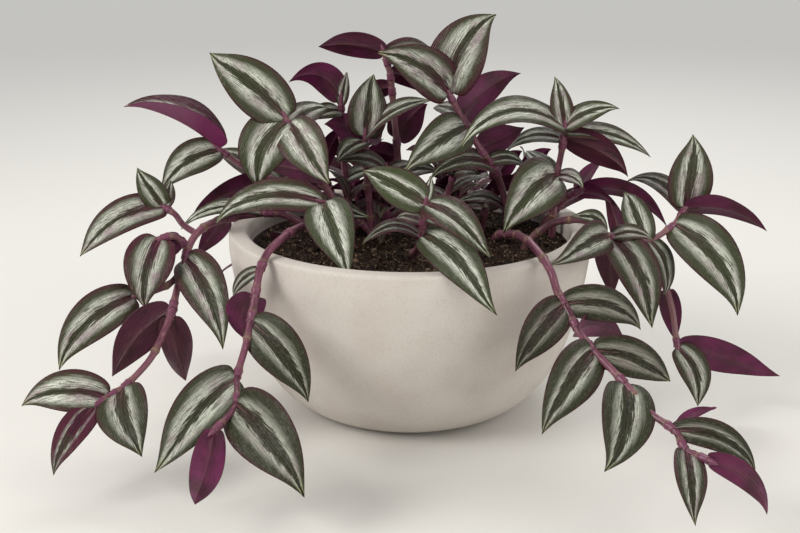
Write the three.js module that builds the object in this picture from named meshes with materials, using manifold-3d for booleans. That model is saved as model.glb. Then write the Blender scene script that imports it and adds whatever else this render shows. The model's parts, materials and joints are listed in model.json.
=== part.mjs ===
// Potted tradescantia: a bowl pot filled with soil, and leafy shoots that stand in it and trail over its rim.
// Millimetres, +Z up. The origin is the middle of the pot's flat base. -Y is the front.

import * as THREE from 'three';
import { mergeVertices } from 'three/addons/utils/BufferGeometryUtils.js';
import Module from 'manifold-3d';

const wasm = await Module();
wasm.setup();

// Driving dimensions
const potRadius = 110;
const potHeight = 112.5;
const baseRadius = 54;
const rimWidth = 10;
const soilTop = 101;
const soilGap = 0.35;
const rootDepth = 7;
const stemFootRadius = 2.6;
const stemTipRadius = 1.7;
const stemSides = 5;
const stemStep = 23;
const roundSegments = 36;
const bladeThickness = 1.3;
const leafFullness = 1.06;
const rearSeed = 43;

// Outer wall of the bowl from the base to the rim, as radius and height
const outerWall = [
  [baseRadius, 0], [63, 2.4], [72, 7.5], [81, 15.5], [88.5, 25.5], [95, 38], [100.3, 52],
  [104.8, 68], [107.8, 85], [109.7, 99], [potRadius, 108], [109.5, 111.2], [107.6, potHeight],
];

// Inner wall from the rim down to the middle of the floor
const innerWall = [
  [potRadius - rimWidth, potHeight], [98.5, 111.2], [97.4, 106], [97.4, 99], [93.5, 70], [84, 42], [66, 21],
  [40, 12], [0, 11],
];

// Shoots that the front view shows. A route runs from the foot on the soil to the tip, and a branch starts
// on its shoot. A leaf row holds its place along the route, its reach from there to the leaf's tip (x, y, z),
// its width, its turn (0 faces the front, 90 the sky, more shows the underside), its arch out of the blade
// and its bow within it, both as parts of the length, and the fold of its halves in degrees where it isn't 17.
const shoots = {
  shoot_upper_left: {
    route: [[-52, 12, 103], [-67, 12, 124], [-87, 8, 139], [-103, 2, 150], [-115, 0, 160]],
    leaves: [
      [4, -53, -12, 29, 38, 80, 0.08, 0, 46],
      [3.9, -34, -16, -21, 22, 10, 0.10, 0.10],
    ],
  },
  shoot_top_left: {
    route: [[-37, 0, 103], [-45, -3, 126], [-55, -8, 145], [-65, -13, 163], [-73, -17, 182]],
    leaves: [
      [4, -45, 5, 36, 30, 0, 0.10, 0.04],
      [3.9, -17, -13, -38, 31, 5, 0.14, 0.12],
      [3.8, 24, -26, -31, 27, 0, 0.12, 0.02],
      [3.7, 22, 24, 7, 18, 30, 0.10, 0.05],
      [2, -40, 33, 0, 15, 150, 0.06, 0],
    ],
  },
  shoot_back_left: {
    route: [[-37, 32, 103], [-40, 30, 134], [-42, 27, 160], [-42, 24, 185]],
    leaves: [
      [3, -31, -10, 14, 19, 150, 0.14, 0.22],
      [2.9, 4, 0, 20, 9, 20, 0.05, 0],
      [2.7, -22, -19, -2, 13, 30, 0.15, 0],
      [2.2, -10, 8, -27, 13, 150, 0.12, 0.05],
      [1, 22, 0, 5, 13, 40, 0.12, 0.05],
    ],
  },
  shoot_back_top: {
    route: [[-5, 44, 103], [-7, 42, 141], [-10, 38, 177], [-12, 35, 199], [-16, 34, 213]],
    leaves: [
      [4, -40, -8, 4, 17, 145, 0.10, 0.04],
      [3.8, 34, 16, -4, 18, 20, 0.15, 0.05],
      [1.45, 19, 4, 22, 21, 165, 0.08, 0.04],
      [3.1, 21, 7, -14, 14, 150, 0.12, 0.05],
      [2.6, -21, 8, -12, 13, 150, 0.12, 0.05],
      [1.1, -23, -6, 5, 15, 150, 0.12, 0.05],
      [0.8, 25, -4, 4, 15, 40, 0.12, 0.05],
    ],
  },
  shoot_middle: {
    route: [[-23, 12, 103], [-26, 10, 137], [-27, 8, 156], [-27, 7, 166]],
    leaves: [
      [3, 4, 7, 37, 24, 0, 0.06, 0],
      [2.9, 40, -13, 25, 18, 50, 0.10, 0.06],
      [2.6, 6, 33, 35, 24, 160, 0.10, 0],
      [2.8, -25, 12, 8, 20, 160, 0.10, 0.06],
      [2.6, -17, -15, -9, 16, 40, 0.14, 0],
    ],
  },
  shoot_top_right: {
    route: [[61, 12, 103], [59, 9, 123], [53, 5, 143], [42, 0, 160], [31, -4, 179], [22, -8, 196]],
    leaves: [
      [5, 27, 6, 45, 33, 0, 0.10, 0.10],
      [4.9, -41, -18, 28, 27, 0, 0.10, 0.08],
      [3.7, -38, -41, -16, 26, 0, 0.12, 0.02],
      [4, 35, 22, 25, 22, 150, 0.10, 0.04],
      [4.1, -16, 18, 2, 14, 40, 0.10, 0],
      [3, 28, 16, 9, 19, 165, 0.08, 0],
      [2.2, -40, -26, 1, 17, 30, 0.16, 0.08],
      [2.5, 24, 12, -7, 11, 30, 0.12, 0.10],
      [0.8, -32, -20, 10, 12, 40, 0.12, 0.10],
    ],
  },
  shoot_right: {
    route: [[89, 16, 103], [89, 12, 130], [90, 9, 142], [92, 6, 157], [93, 3, 172]],
    leaves: [
      [4, -65, -35, -3, 21, 30, 0.14, 0.14],
      [4, -6, 1, 31, 14, 0, 0.04, 0],
      [4, 31, -7, 14, 14, 15, 0.10, 0.08],
      [3.9, -33, 21, 12, 13, 50, 0.14, 0.05],
      [3.8, 55, 6, -17, 15, 40, 0.10, 0.06],
      [3.6, 38, -18, -19, 21, 140, 0.10, 0.02],
      [3.5, -34, 20, -13, 14, 50, 0.16, 0.05],
      [2, -36, -43, -24, 33, 0, 0.12, 0.06],
      [1.9, 15, -13, -4, 12, 30, 0.12, 0.10],
      [1.5, -17, 24, 15, 15, 20, 0.10, 0],
    ],
  },
  shoot_right_low: {
    route: [[84, 30, 103], [92, 28, 115], [99, 24, 124], [108, 20, 130]],
    leaves: [
      [3, 50, -18, -20, 15, 130, 0.12, 0.14],
      [2.6, 19, 18, 18, 12, 150, 0.10, 0],
      [2.5, 20, -22, -2, 11, 140, 0.10, 0.10],
      [1.3, 24, 8, 6, 12, 150, 0.12, 0.05],
    ],
  },
  shoot_far_right: {
    route: [
      [70, -12, 103], [81, -16, 115], [91, -18, 120], [105, -20, 120], [118, -24, 112],
      [141, -20, 108], [158, -12, 115], [167, -4, 124],
    ],
    leaves: [
      [7, 5, 8, 44, 27, 0, 0.06, 0],
      [7, 46, -18, -10, 18, 125, 0.10, 0.08],
      [6.1, 35, -35, -45, 31, 0, 0.12, 0.09],
      [6.9, -30, 35, 11, 13, 20, 0.12, 0.12],
      [5, -9, 28, 24, 18, 0, 0.08, 0],
      [4, -40, -64, -1, 21, 0, 0.10, 0.04],
      [4.1, 19, -34, -46, 25, 0, 0.10, 0.10],
      [5.1, 10, -9, -32, 16, 35, 0.12, 0.08],
      [3.9, 9, 20, -47, 17, 165, 0.10, 0],
      [4.1, 23, -8, 1, 11, 20, 0.12, 0.10],
      [3.9, -23, -16, 15, 12, 30, 0.16, 0.10],
      [4.3, -5, 37, 22, 11, 150, 0.10, 0],
    ],
    branches: [{
      route: [[141, -20, 108], [150, -22, 90], [157, -28, 70], [160, -38, 47]],
      leaves: [
        [3, 10, -16, -32, 19, 5, 0.10, 0.13],
        [3, 61, -4, -18, 22, 155, 0.08, -0.01],
        [1.6, 7, 0, -33, 13, 165, 0.12, 0],
      ],
    }],
  },
  trailer_front_right: {
    route: [
      [53, 5, 103], [57, -19, 112], [64, -56, 120], [71, -82, 118], [76, -98, 112], [79, -103, 103],
      [83, -106, 96], [89, -118, 86], [96, -132, 79], [110, -152, 68], [120, -168, 59],
      [131, -180, 54], [135, -190, 48], [144, -200, 47],
    ],
    leaves: [
      [6, -29, -28, -27, 22, 0, 0.10, 0.04],
      [6, 43, 2, -14, 20, 10, 0.12, 0.12],
      [8, -31, -38, -30, 26, 0, 0.10, 0.04],
      [8, 41, -2, -18, 21, 5, 0.12, 0.09],
      [9, -14, -44, -29, 28, 0, 0.08, -0.06],
      [11, 40, -10, -18, 15, 5, 0.12, 0.15],
      [11, 23, 12, 7, 8, 150, 0.10, 0.05],
      [12, -4, -42, -19, 16, 0, 0.06, 0],
      [13, 25, -22, -17, 13, 150, 0.10, 0.10],
      [7, 31, 30, -16, 17, 155, 0.10, 0.05],
    ],
  },
  shoot_front: {
    route: [[1, -33, 103], [3, -52, 110], [6, -72, 123], [7, -84, 136], [8, -90, 148]],
    leaves: [
      [2.3, 37, -48, -32, 24, 0, 0.14, 0.08],
      [4, 33, -28, -23, 19, 15, 0.16, 0.05],
      [4, -34, 6, 18, 21, 0, 0.08, 0.02],
      [4, 3, 2, 15, 7, 0, 0.03, 0],
      [2.1, -33, -11, -1, 11, 40, 0.20, 0.14],
      [3, -16, 14, -2, 9, 30, 0.15, 0.05],
      [3.3, 13, 6, -6, 9, 20, 0.15, 0],
    ],
  },
  shoot_inner_right: {
    route: [[24, 20, 103], [23, 15, 124], [27, 10, 142]],
    leaves: [
      [2, 15, -17, 4, 13, 30, 0.14, 0.05],
      [2, -18, -14, 12, 13, 30, 0.14, 0.05],
      [1.3, 26, 6, 8, 14, 60, 0.12, 0.05],
      [1, -24, 2, 4, 14, 50, 0.12, 0.08],
    ],
  },
  shoot_inner: {
    route: [[-14, 20, 103], [-18, 14, 125], [-15, 8, 145]],
    leaves: [
      [2, -29, -12, 8, 14, 30, 0.15, 0.05],
      [1.6, 23, 10, 8, 13, 30, 0.15, 0.05],
      [1.2, 9, -31, 13, 10, 150, 0.10, 0],
    ],
  },
  shoot_front_left: {
    route: [[-35, -14, 103], [-38, -24, 122], [-43, -32, 131], [-51, -38, 136]],
    leaves: [
      [3, -64, 4, -12, 21, 20, 0.12, 0.10],
      [2.9, 17, -48, -31, 28, 0, 0.16, 0],
      [2, 19, -18, -1, 12, 0, 0.20, 0],
    ],
  },
  trailer_front_left: {
    route: [
      [-44, -22, 103], [-52, -28, 118], [-64, -50, 124], [-78, -72, 118], [-83, -84, 110],
      [-85, -94, 100], [-87, -106, 86], [-89, -118, 76], [-92, -136, 65], [-91, -152, 57],
      [-95, -162, 53], [-100, -170, 50],
    ],
    leaves: [
      [6, 33, -22, -37, 26, 0, 0.10, 0.07],
      [5.2, -7, 10, -29, 21, 165, 0.08, 0.12],
      [4.1, -16, 3, -17, 9, 30, 0.12, 0.08],
      [8, -35, -48, -33, 27, 0, 0.10, 0.06],
      [9, 39, -48, -28, 32, 0, 0.08, 0.05],
      [11, -6, -44, -20, 17, 165, 0.08, -0.05],
      [2.4, -10, 13, -7, 12, 100, 0.10, 0],
    ],
  },
  trailer_far_left: {
    route: [
      [-54, 0, 103], [-76, -4, 120], [-97, -8, 121], [-117, -18, 119], [-126, -30, 115],
      [-130, -42, 108], [-131, -52, 101], [-133, -66, 92], [-135, -80, 81], [-139, -94, 71],
      [-143, -104, 64], [-150, -112, 57], [-156, -120, 53], [-163, -126, 50], [-169, -130, 47],
    ],
    leaves: [
      [5.5, 28, -51, -36, 26, 0, 0.10, 0.07],
      [7.8, -32, -15, -35, 23, 160, 0.08, 0.08],
      [8.1, 9, -13, -33, 20, 165, 0.08, -0.04],
      [13, -45, -6, -1, 23, 10, 0.10, 0.10],
      [14, -17, -34, -24, 17, 10, 0.08, 0.03],
      [12, 17, -38, -22, 29, 0, 0.10, -0.04],
      [2.6, -17, 5, -25, 14, 165, 0.10, 0],
      [1.6, -48, -18, -4, 11, 30, 0.15, 0.08],
    ],
    branches: [
      {
        route: [[-131, -52, 101], [-137, -58, 94], [-146, -62, 90], [-158, -64, 87]],
        leaves: [[3, -40, -28, -33, 25, 0, 0.12, 0.10]],
      },
      {
        route: [[-126, -30, 115], [-134, -28, 120], [-139, -26, 126], [-146, -24, 130]],
        leaves: [
          [3, -46, -20, -26, 22, 15, 0.12, 0.10],
          [3, -14, -4, 24, 16, 0, 0.05, 0],
          [2.9, 4, 6, 15, 10, 0, 0.05, 0],
        ],
      },
      {
        route: [[-130, -42, 108], [-133, -46, 116], [-138, -50, 119], [-144, -52, 118]],
        leaves: [
          [3, -7, -24, -34, 28, 0, 0.10, 0.05],
          [1, -14, -12, -9, 14, 160, 0.10, 0.05],
        ],
      },
    ],
  },
  shoot_left_inner: {
    route: [[-60, 30, 103], [-71, 28, 124], [-88, 24, 137]],
    leaves: [
      [2, -47, -18, -19, 16, 140, 0.06, 0],
      [1.5, -46, 34, 16, 18, 20, 0.10, 0],
    ],
  },
};

// Shoots at the back, which repeat one pattern: trailers over the rear rim and short upright shoots.
// Each is its foot on the soil and the heading in which it grows, in degrees from +X towards +Y. A trailer adds
// how many steps it hangs, of the six on the longest, and by how much it swerves, in degrees a step.
const rearTrailers = [
  [34, 52, 57, 5, -2],
  [14, 60, 75, 6, -1.5],
  [-7, 62, 95, 4, 1.5],
  [-27, 57, 114, 6, -1.5],
  [-44, 46, 131, 5, 2],
];
const rearUprights = [[46, 30, 30], [16, 34, 70], [-22, 40, 110], [66, 44, 35]];

// Low side stems that fill the middle of the pot by one rule. They start at the foot of a shoot, each with its
// lean in degrees from +X towards +Y, its height and the seed of the draw that varies it and turns its leaves.
const lowStems = {
  shoot_inner_right: [[-60, 27, 12630]],
  shoot_inner: [[-90, 27, 10739]],
  shoot_middle: [[180, 27, 13240]],
  shoot_rear_2: [[20, 42, 10068]],
  shoot_rear_3: [[180, 27, 12142]],
  shoot_rear_4: [[0, 27, 20255]],
};

const radians = THREE.MathUtils.degToRad;
const vector = (x, y, z) => new THREE.Vector3(x, y, z);

// Repeatable draw between -1 and 1
function makeDraw(seed) {
  let state = seed;
  return () => {
    state = (state * 16807) % 2147483647;
    return (state / 2147483647) * 2 - 1;
  };
}

// Point on a smooth curve through the route's points, where place 2.5 is halfway from point 2 to point 3
function pointAt(points, place) {
  const last = points.length - 1;
  const index = Math.min(Math.max(Math.floor(place), 0), last - 1);
  const t = place - index;
  const p1 = points[index];
  const p2 = points[index + 1];
  const p0 = index > 0 ? points[index - 1] : p1.clone().multiplyScalar(2).sub(p2);
  const p3 = index + 2 <= last ? points[index + 2] : p2.clone().multiplyScalar(2).sub(p1);
  const startSlope = p2.clone().sub(p0).multiplyScalar(0.5);
  const endSlope = p3.clone().sub(p1).multiplyScalar(0.5);
  return p1.clone().multiplyScalar(2 * t ** 3 - 3 * t ** 2 + 1)
    .addScaledVector(startSlope, t ** 3 - 2 * t ** 2 + t)
    .addScaledVector(p2, 3 * t ** 2 - 2 * t ** 3)
    .addScaledVector(endSlope, t ** 3 - t ** 2);
}

// Closed solid from rings with equally many points, capped flat at both ends
function skin(rings) {
  const count = rings[0].length;
  const positions = rings.flat().flatMap((p) => [p.x, p.y, p.z]);
  const triangles = [];
  for (let i = 0; i < rings.length - 1; i += 1) {
    for (let j = 0; j < count; j += 1) {
      const a = i * count + j;
      const b = i * count + ((j + 1) % count);
      triangles.push(a, b, b + count, a, b + count, a + count);
    }
  }
  const top = (rings.length - 1) * count;
  for (let j = 1; j < count - 1; j += 1) {
    triangles.push(0, j + 1, j, top, top + j, top + j + 1);
  }
  return solid(positions, triangles);
}

// Manifold solid with its faces turned outwards
function solid(positions, triangles) {
  const corner = (i) => vector(...positions.slice(3 * i, 3 * i + 3));
  let volume = 0;
  for (let i = 0; i < triangles.length; i += 3) {
    const [a, b, c] = [corner(triangles[i]), corner(triangles[i + 1]), corner(triangles[i + 2])];
    volume += a.dot(b.cross(c));
  }
  const order = volume < 0 ? triangles.slice().reverse() : triangles;
  const mesh = new wasm.Mesh({
    numProp: 3,
    vertProperties: Float32Array.from(positions),
    triVerts: Uint32Array.from(order),
  });
  return new wasm.Manifold(mesh);
}

// Places along the route where the stem gets a ring, at most a step apart
function stemPlaces(points) {
  const places = [0];
  for (let i = 1; i < points.length; i += 1) {
    const parts = Math.ceil(points[i].distanceTo(points[i - 1]) / stemStep);
    for (let j = 1; j <= parts; j += 1) {
      places.push(i - 1 + j / parts);
    }
  }
  return places;
}

// Stem as a tapered tube along the route, with its foot wider than its tip
function stemSolid(points, footRadius, tipRadius) {
  const last = points.length - 1;
  const rings = [];
  let across = vector(1, 0, 0);
  for (const place of stemPlaces(points)) {
    const centre = pointAt(points, place);
    const ahead = pointAt(points, Math.min(place + 0.05, last));
    const behind = pointAt(points, Math.max(place - 0.05, 0));
    const along = ahead.sub(behind).normalize();
    across = across.addScaledVector(along, -across.dot(along)).normalize();
    const side = along.clone().cross(across);
    const radius = THREE.MathUtils.lerp(footRadius, tipRadius, place / last);
    const ring = [];
    for (let j = 0; j < stemSides; j += 1) {
      const angle = (j / stemSides) * 2 * Math.PI;
      ring.push(centre.clone()
        .addScaledVector(across, radius * Math.cos(angle))
        .addScaledVector(side, radius * Math.sin(angle)));
    }
    rings.push(ring);
  }
  return skin(rings);
}

// Half width of a leaf along its length as part of its greatest, widest at a third and drawn out to the tip
function bladeShare(t) {
  const rise = 0.52;
  const fall = 0.92;
  const peak = rise / (rise + fall);
  const greatest = peak ** rise * (1 - peak) ** fall;
  return (t ** rise * (1 - t) ** fall) / greatest;
}

// Places along a leaf where it gets a section, fewer on a small leaf
function bladeStations(length) {
  if (length > 44) {
    return [0, 0.1, 0.3, 0.55, 0.82];
  }
  return length > 31 ? [0, 0.13, 0.42, 0.76] : [0, 0.18, 0.58];
}

// Leaf as a thin lens-shaped blade that is creased along its midrib and arched from its root to its tip
function leafSolid(root, row, heading) {
  const [, x, y, z, width, turn, arch, bow, fold = 17] = row;
  const reach = vector(x, y, z);
  const length = reach.length();
  const along = reach.clone().normalize();
  const outlook = vector(Math.cos(radians(heading)), Math.sin(radians(heading)), 0.3);
  const face = outlook.addScaledVector(along, -outlook.dot(along)).normalize();
  const sky = vector(0, 0, 1).addScaledVector(along, -along.z);
  const turnSign = face.clone().cross(sky).dot(along) >= 0 ? 1 : -1;
  face.applyAxisAngle(along, radians(turnSign * turn));
  const side = face.clone().cross(along);
  if (side.z < 0) {
    side.negate();
  }
  const bend = face.clone().multiplyScalar(arch).addScaledVector(side, bow).multiplyScalar(length);
  const curl = fold > 30 ? 0.1 : 0.5;
  const stations = bladeStations(length);
  const rings = [];
  for (const t of stations) {
    const middle = root.clone().addScaledVector(reach, t).addScaledVector(bend, 4 * t * (1 - t));
    const tangent = reach.clone().addScaledVector(bend, 4 * (1 - 2 * t)).normalize();
    const up = face.clone().addScaledVector(tangent, -face.dot(tangent)).normalize();
    const out = up.clone().cross(tangent);
    if (out.dot(side) < 0) {
      out.negate();
    }
    const half = Math.max((leafFullness * width / 2) * bladeShare(t), 1.4);
    const lift = half * Math.sin(radians(fold)) * (1 - curl);
    const spread = half * Math.cos(radians(fold));
    const thick = (bladeThickness / 2) * (t > 0.7 ? 0.8 : 1);
    rings.push([
      middle.clone().addScaledVector(out, -spread).addScaledVector(up, lift),
      middle.clone().addScaledVector(up, -thick),
      middle.clone().addScaledVector(out, spread).addScaledVector(up, lift),
      middle.clone().addScaledVector(up, thick),
    ]);
  }
  const tip = root.clone().add(reach);
  const positions = rings.flat().concat([tip]).flatMap((p) => [p.x, p.y, p.z]);
  const triangles = [0, 2, 1, 0, 3, 2];
  for (let i = 0; i < rings.length - 1; i += 1) {
    for (const [j, k] of [[0, 1], [1, 2], [2, 3], [3, 0]]) {
      const a = 4 * i + j;
      const b = 4 * i + k;
      const marginFirst = j % 2 === 0;
      if (marginFirst) {
        triangles.push(a, b, b + 4, a, b + 4, a + 4);
      } else {
        triangles.push(a, b, a + 4, b, b + 4, a + 4);
      }
    }
  }
  const end = 4 * rings.length;
  for (const [j, k] of [[0, 1], [1, 2], [2, 3], [3, 0]]) {
    triangles.push(end - 4 + j, end - 4 + k, end);
  }
  return solid(positions, triangles);
}

// The route with its buried end below the foot
function rootedPoints(route) {
  const points = route.map((p) => vector(...p));
  const foot = points[0];
  points.unshift(vector(foot.x, foot.y, soilTop - rootDepth));
  return points;
}

// Every separate solid of a shoot: its stem, its leaves and those of its branches
function shootParts(shoot) {
  const heading = shoot.heading ?? -90;
  const points = rootedPoints(shoot.route);
  const parts = [stemSolid(points, stemFootRadius, stemTipRadius)];
  for (const row of shoot.leaves) {
    parts.push(leafSolid(pointAt(points, row[0] + 1), row, heading));
  }
  for (const branch of shoot.branches ?? []) {
    const branchPoints = branch.route.map((p) => vector(...p));
    parts.push(stemSolid(branchPoints, 2.1, stemTipRadius));
    for (const row of branch.leaves) {
      parts.push(leafSolid(pointAt(branchPoints, row[0]), row, heading));
    }
  }
  return parts;
}

// Leaf rows in two ranks along a shoot at the back, alternately left and right of its heading
function rearLeaves(heading, places, lengths, rises, draw) {
  return places.map((place, i) => {
    const toSide = i % 2 === 0 ? 1 : -1;
    const swing = radians(heading + toSide * (50 + 14 * draw()));
    const rise = radians(rises[0] + ((rises[1] - rises[0]) * i) / (places.length - 1) + 5 * draw());
    const length = lengths[0] + ((lengths[1] - lengths[0]) * i) / (places.length - 1) + 4 * draw();
    const flat = length * Math.cos(rise);
    return [
      place, flat * Math.cos(swing), flat * Math.sin(swing), length * Math.sin(rise),
      0.5 * length, 35, 0.12, 0.05,
    ];
  });
}

function rearShoots() {
  const draw = makeDraw(rearSeed);
  const made = {};
  const outward = (heading, radius, z) => [
    radius * Math.cos(radians(heading)), radius * Math.sin(radians(heading)), z,
  ];
  const hang = [[82, 121], [108, 121], [126, 106], [137, 84], [144, 60], [150, 38]];
  rearTrailers.forEach(([x, y, heading, steps, swerve], i) => {
    const hung = hang.slice(0, steps).map(([r, z], k) => outward(heading + swerve * k, r, z));
    const places = [1, 2.4, 3.2, 4, 4.9].filter((place) => place < steps - 0.5);
    made[`trailer_rear_${i + 1}`] = {
      heading,
      route: [[x, y, 103], ...hung],
      leaves: rearLeaves(heading, [...places, steps - 0.1, steps], [40, 30], [18, -48], draw),
    };
  });
  rearUprights.forEach(([x, y, heading], i) => {
    const [dx, dy] = outward(heading, 1, 0);
    made[`shoot_rear_${i + 1}`] = {
      heading,
      route: [[x, y, 103], [x + 3 * dx, y + 3 * dy, 118], [x + 9 * dx, y + 9 * dy, 132]],
      leaves: rearLeaves(heading, [0.8, 1.4, 1.9, 2], [34, 26], [8, 50], draw),
    };
  });
  return made;
}

function lowStem([x, y], lean, tall, seed) {
  const draw = makeDraw(seed);
  const height = tall + 7 * draw();
  const spread = 15 + 4 * draw();
  const [dx, dy] = [spread * Math.cos(radians(lean)), spread * Math.sin(radians(lean))];
  const leaves = [1.2, 1.8, 2.4, 2.9, 3].map((place, i) => {
    const swing = radians(lean + 180 * (i % 2) + 60 * draw());
    const rise = radians(14 * i - 10 + 12 * draw());
    const length = 31 - 2 * i + 2 * draw();
    const flat = length * Math.cos(rise);
    return [
      place, flat * Math.cos(swing), flat * Math.sin(swing), length * Math.sin(rise),
      0.47 * length, 40 + 25 * draw(), 0.14, 0.05,
    ];
  });
  return {
    route: [
      [x, y, 103], [x + 0.35 * dx, y + 0.35 * dy, 103 + 0.3 * height],
      [x + 0.8 * dx, y + 0.8 * dy, 103 + 0.65 * height], [x + dx, y + dy, 103 + height],
    ],
    leaves,
  };
}

// Every shoot by name, with its low side stems among its branches
function allShoots() {
  const every = { ...shoots, ...rearShoots() };
  for (const [name, stems] of Object.entries(lowStems)) {
    const shoot = every[name];
    const added = stems.map(([lean, tall, seed]) => lowStem(shoot.route[0], lean, tall, seed));
    every[name] = { ...shoot, branches: [...(shoot.branches ?? []), ...added] };
  }
  return every;
}

// Mesh of a solid
function meshOf(name, shape, material) {
  const { numProp, vertProperties, triVerts } = shape.getMesh();
  const geometry = new THREE.BufferGeometry();
  const positions = [];
  for (let i = 0; i < vertProperties.length; i += numProp) {
    positions.push(vertProperties[i], vertProperties[i + 1], vertProperties[i + 2]);
  }
  geometry.setAttribute('position', new THREE.Float32BufferAttribute(positions, 3));
  geometry.setIndex(Array.from(triVerts));
  geometry.computeVertexNormals();
  const mesh = new THREE.Mesh(geometry, material);
  mesh.name = name;
  return mesh;
}

// Solid of revolution from a profile of radius and height that starts and ends on the axis
function turned(profile, segments) {
  const points = profile.map(([r, z]) => new THREE.Vector2(r, z));
  const geometry = new THREE.LatheGeometry(points, segments);
  geometry.rotateX(Math.PI / 2);
  geometry.deleteAttribute('normal');
  geometry.deleteAttribute('uv');
  const merged = mergeVertices(geometry, 1e-4);
  const index = Array.from(merged.getIndex().array);
  const triangles = [];
  for (let i = 0; i < index.length; i += 3) {
    const [a, b, c] = index.slice(i, i + 3);
    if (a !== b && b !== c && c !== a) {
      triangles.push(a, b, c);
    }
  }
  return solid(Array.from(merged.getAttribute('position').array), triangles);
}

function potSolid() {
  return turned([[0, 0], ...outerWall, ...innerWall], roundSegments);
}

// Soil that fills the bowl, with a plain hole for each stem
function soilSolid(shootList) {
  const wall = innerWall.filter(([, z]) => z < soilTop);
  const slopeUp = wall.map(([r, z]) => [Math.max(r - soilGap, 0), z + soilGap]).reverse();
  let soil = turned([...slopeUp, [97.4 - soilGap, soilTop], [0, soilTop]], roundSegments);
  for (const shoot of shootList) {
    const points = rootedPoints(shoot.route).slice(0, 3);
    points[0].z -= soilGap;
    const hole = stemSolid(points, stemFootRadius + 0.45, stemFootRadius + 0.45);
    soil = soil.subtract(hole);
  }
  return soil;
}

const materials = {
  pot: new THREE.MeshStandardMaterial({ color: '#cfc8be', roughness: 0.85, metalness: 0 }),
  soil: new THREE.MeshStandardMaterial({ color: '#2d231c', roughness: 1, metalness: 0 }),
  foliage: new THREE.MeshStandardMaterial({ color: '#6f7d68', roughness: 0.5, metalness: 0 }),
};

const everyShoot = allShoots();
const plant = new THREE.Group();
plant.add(meshOf('pot', potSolid(), materials.pot));
plant.add(meshOf('soil', soilSolid(Object.values(everyShoot)), materials.soil));
for (const [name, shoot] of Object.entries(everyShoot)) {
  const whole = shootParts(shoot).reduce((sum, part) => sum.add(part));
  plant.add(meshOf(name, whole, materials.foliage));
}

export default plant;
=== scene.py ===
import json
import math
from functools import partial

import bpy
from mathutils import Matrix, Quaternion, Vector, noise

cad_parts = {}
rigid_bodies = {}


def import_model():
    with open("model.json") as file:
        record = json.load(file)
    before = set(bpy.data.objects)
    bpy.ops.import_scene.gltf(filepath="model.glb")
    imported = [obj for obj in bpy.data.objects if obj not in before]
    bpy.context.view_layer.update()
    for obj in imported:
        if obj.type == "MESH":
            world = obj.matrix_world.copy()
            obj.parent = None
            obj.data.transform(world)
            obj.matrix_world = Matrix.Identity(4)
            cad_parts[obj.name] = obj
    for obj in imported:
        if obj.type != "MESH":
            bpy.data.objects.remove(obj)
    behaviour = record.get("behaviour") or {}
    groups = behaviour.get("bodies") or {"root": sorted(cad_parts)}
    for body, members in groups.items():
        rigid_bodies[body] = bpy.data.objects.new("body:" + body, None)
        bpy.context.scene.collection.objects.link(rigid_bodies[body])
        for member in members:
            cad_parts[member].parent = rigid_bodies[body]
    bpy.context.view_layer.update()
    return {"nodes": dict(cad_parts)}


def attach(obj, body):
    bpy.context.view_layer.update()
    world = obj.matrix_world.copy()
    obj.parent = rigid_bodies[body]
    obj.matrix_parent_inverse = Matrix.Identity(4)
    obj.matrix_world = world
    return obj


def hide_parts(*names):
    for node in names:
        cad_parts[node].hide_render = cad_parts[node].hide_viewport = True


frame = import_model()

print("frame loaded with", len(frame["nodes"]), "nodes")

# Everything is drawn in millimetres and turned to metres when a mesh is made
mm = 0.001


def linear(hexColour):
    # sRGB hex to the linear values that a shader takes
    channels = [int(hexColour[i:i + 2], 16) / 255 for i in (1, 3, 5)]
    return [c / 12.92 if c <= 0.04045 else ((c + 0.055) / 1.055) ** 2.4 for c in channels] + [1.0]


# The setting that a node's second word goes to, as in "Math MULTIPLY"
mainSetting = {
    "Math": "operation", "VectorMath": "operation", "Mix": "data_type", "Attribute": "attribute_name",
}


def addNode(tree, kind, *values, clamp=False, output=0, **named):
    # Adds a node, sets or links its inputs in order or by name, and gives one of its outputs. The stops of
    # a ramp come after its input.
    kind, _, setting = kind.partition(" ")
    node = tree.nodes.new("ShaderNode" + kind)
    if setting:
        setattr(node, mainSetting[kind], setting)
    if clamp:
        node.use_clamp = True
    if kind == "ValToRGB":
        values, stops = values[:1], values[1:]
        for _ in stops[2:]:
            node.color_ramp.elements.new(0.5)
        for stop, (place, shade) in zip(node.color_ramp.elements, stops):
            stop.position = place
            stop.color = linear(shade) if isinstance(shade, str) else (shade, shade, shade, 1)
    # A colour mix has its factor at socket 0, its colours at 6 and 7 and its result at 2
    places = (0, 6, 7) if kind == "Mix" else range(len(values))
    for place, value in [*zip(places, values), *named.items()]:
        if isinstance(value, bpy.types.NodeSocket):
            tree.links.new(value, node.inputs[place])
        else:
            node.inputs[place].default_value = linear(value) if isinstance(value, str) else value
    return node.outputs[{"Mix": 2, "Attribute": 1}.get(kind, output)]


def paint(add, ground, *coats):
    # Lays colours over a ground colour, each through its own mask
    for mask, colour in coats:
        ground = add("Mix RGBA", mask, ground, colour)
    return ground


def newMaterial(name, sockets):
    # A material with the shader's sockets that are the same all over, and what adds a node to it
    material = bpy.data.materials.new(name)
    material.use_nodes = True
    shader = material.node_tree.nodes["Principled BSDF"]
    for socket, value in sockets.items():
        shader.inputs[socket].default_value = linear(value) if isinstance(value, str) else value
    return material, partial(addNode, material.node_tree)


def dress(material, colour, rough, relief, strength, depth):
    # Links the colour, the roughness and a relief of so many millimetres to the shader
    tree = material.node_tree
    bump = addNode(tree, "Bump", Strength=strength, Distance=depth * mm, Height=relief)
    shader = tree.nodes["Principled BSDF"]
    for socket, value in (("Base Color", colour), ("Roughness", rough), ("Normal", bump)):
        tree.links.new(value, shader.inputs[socket])


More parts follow.
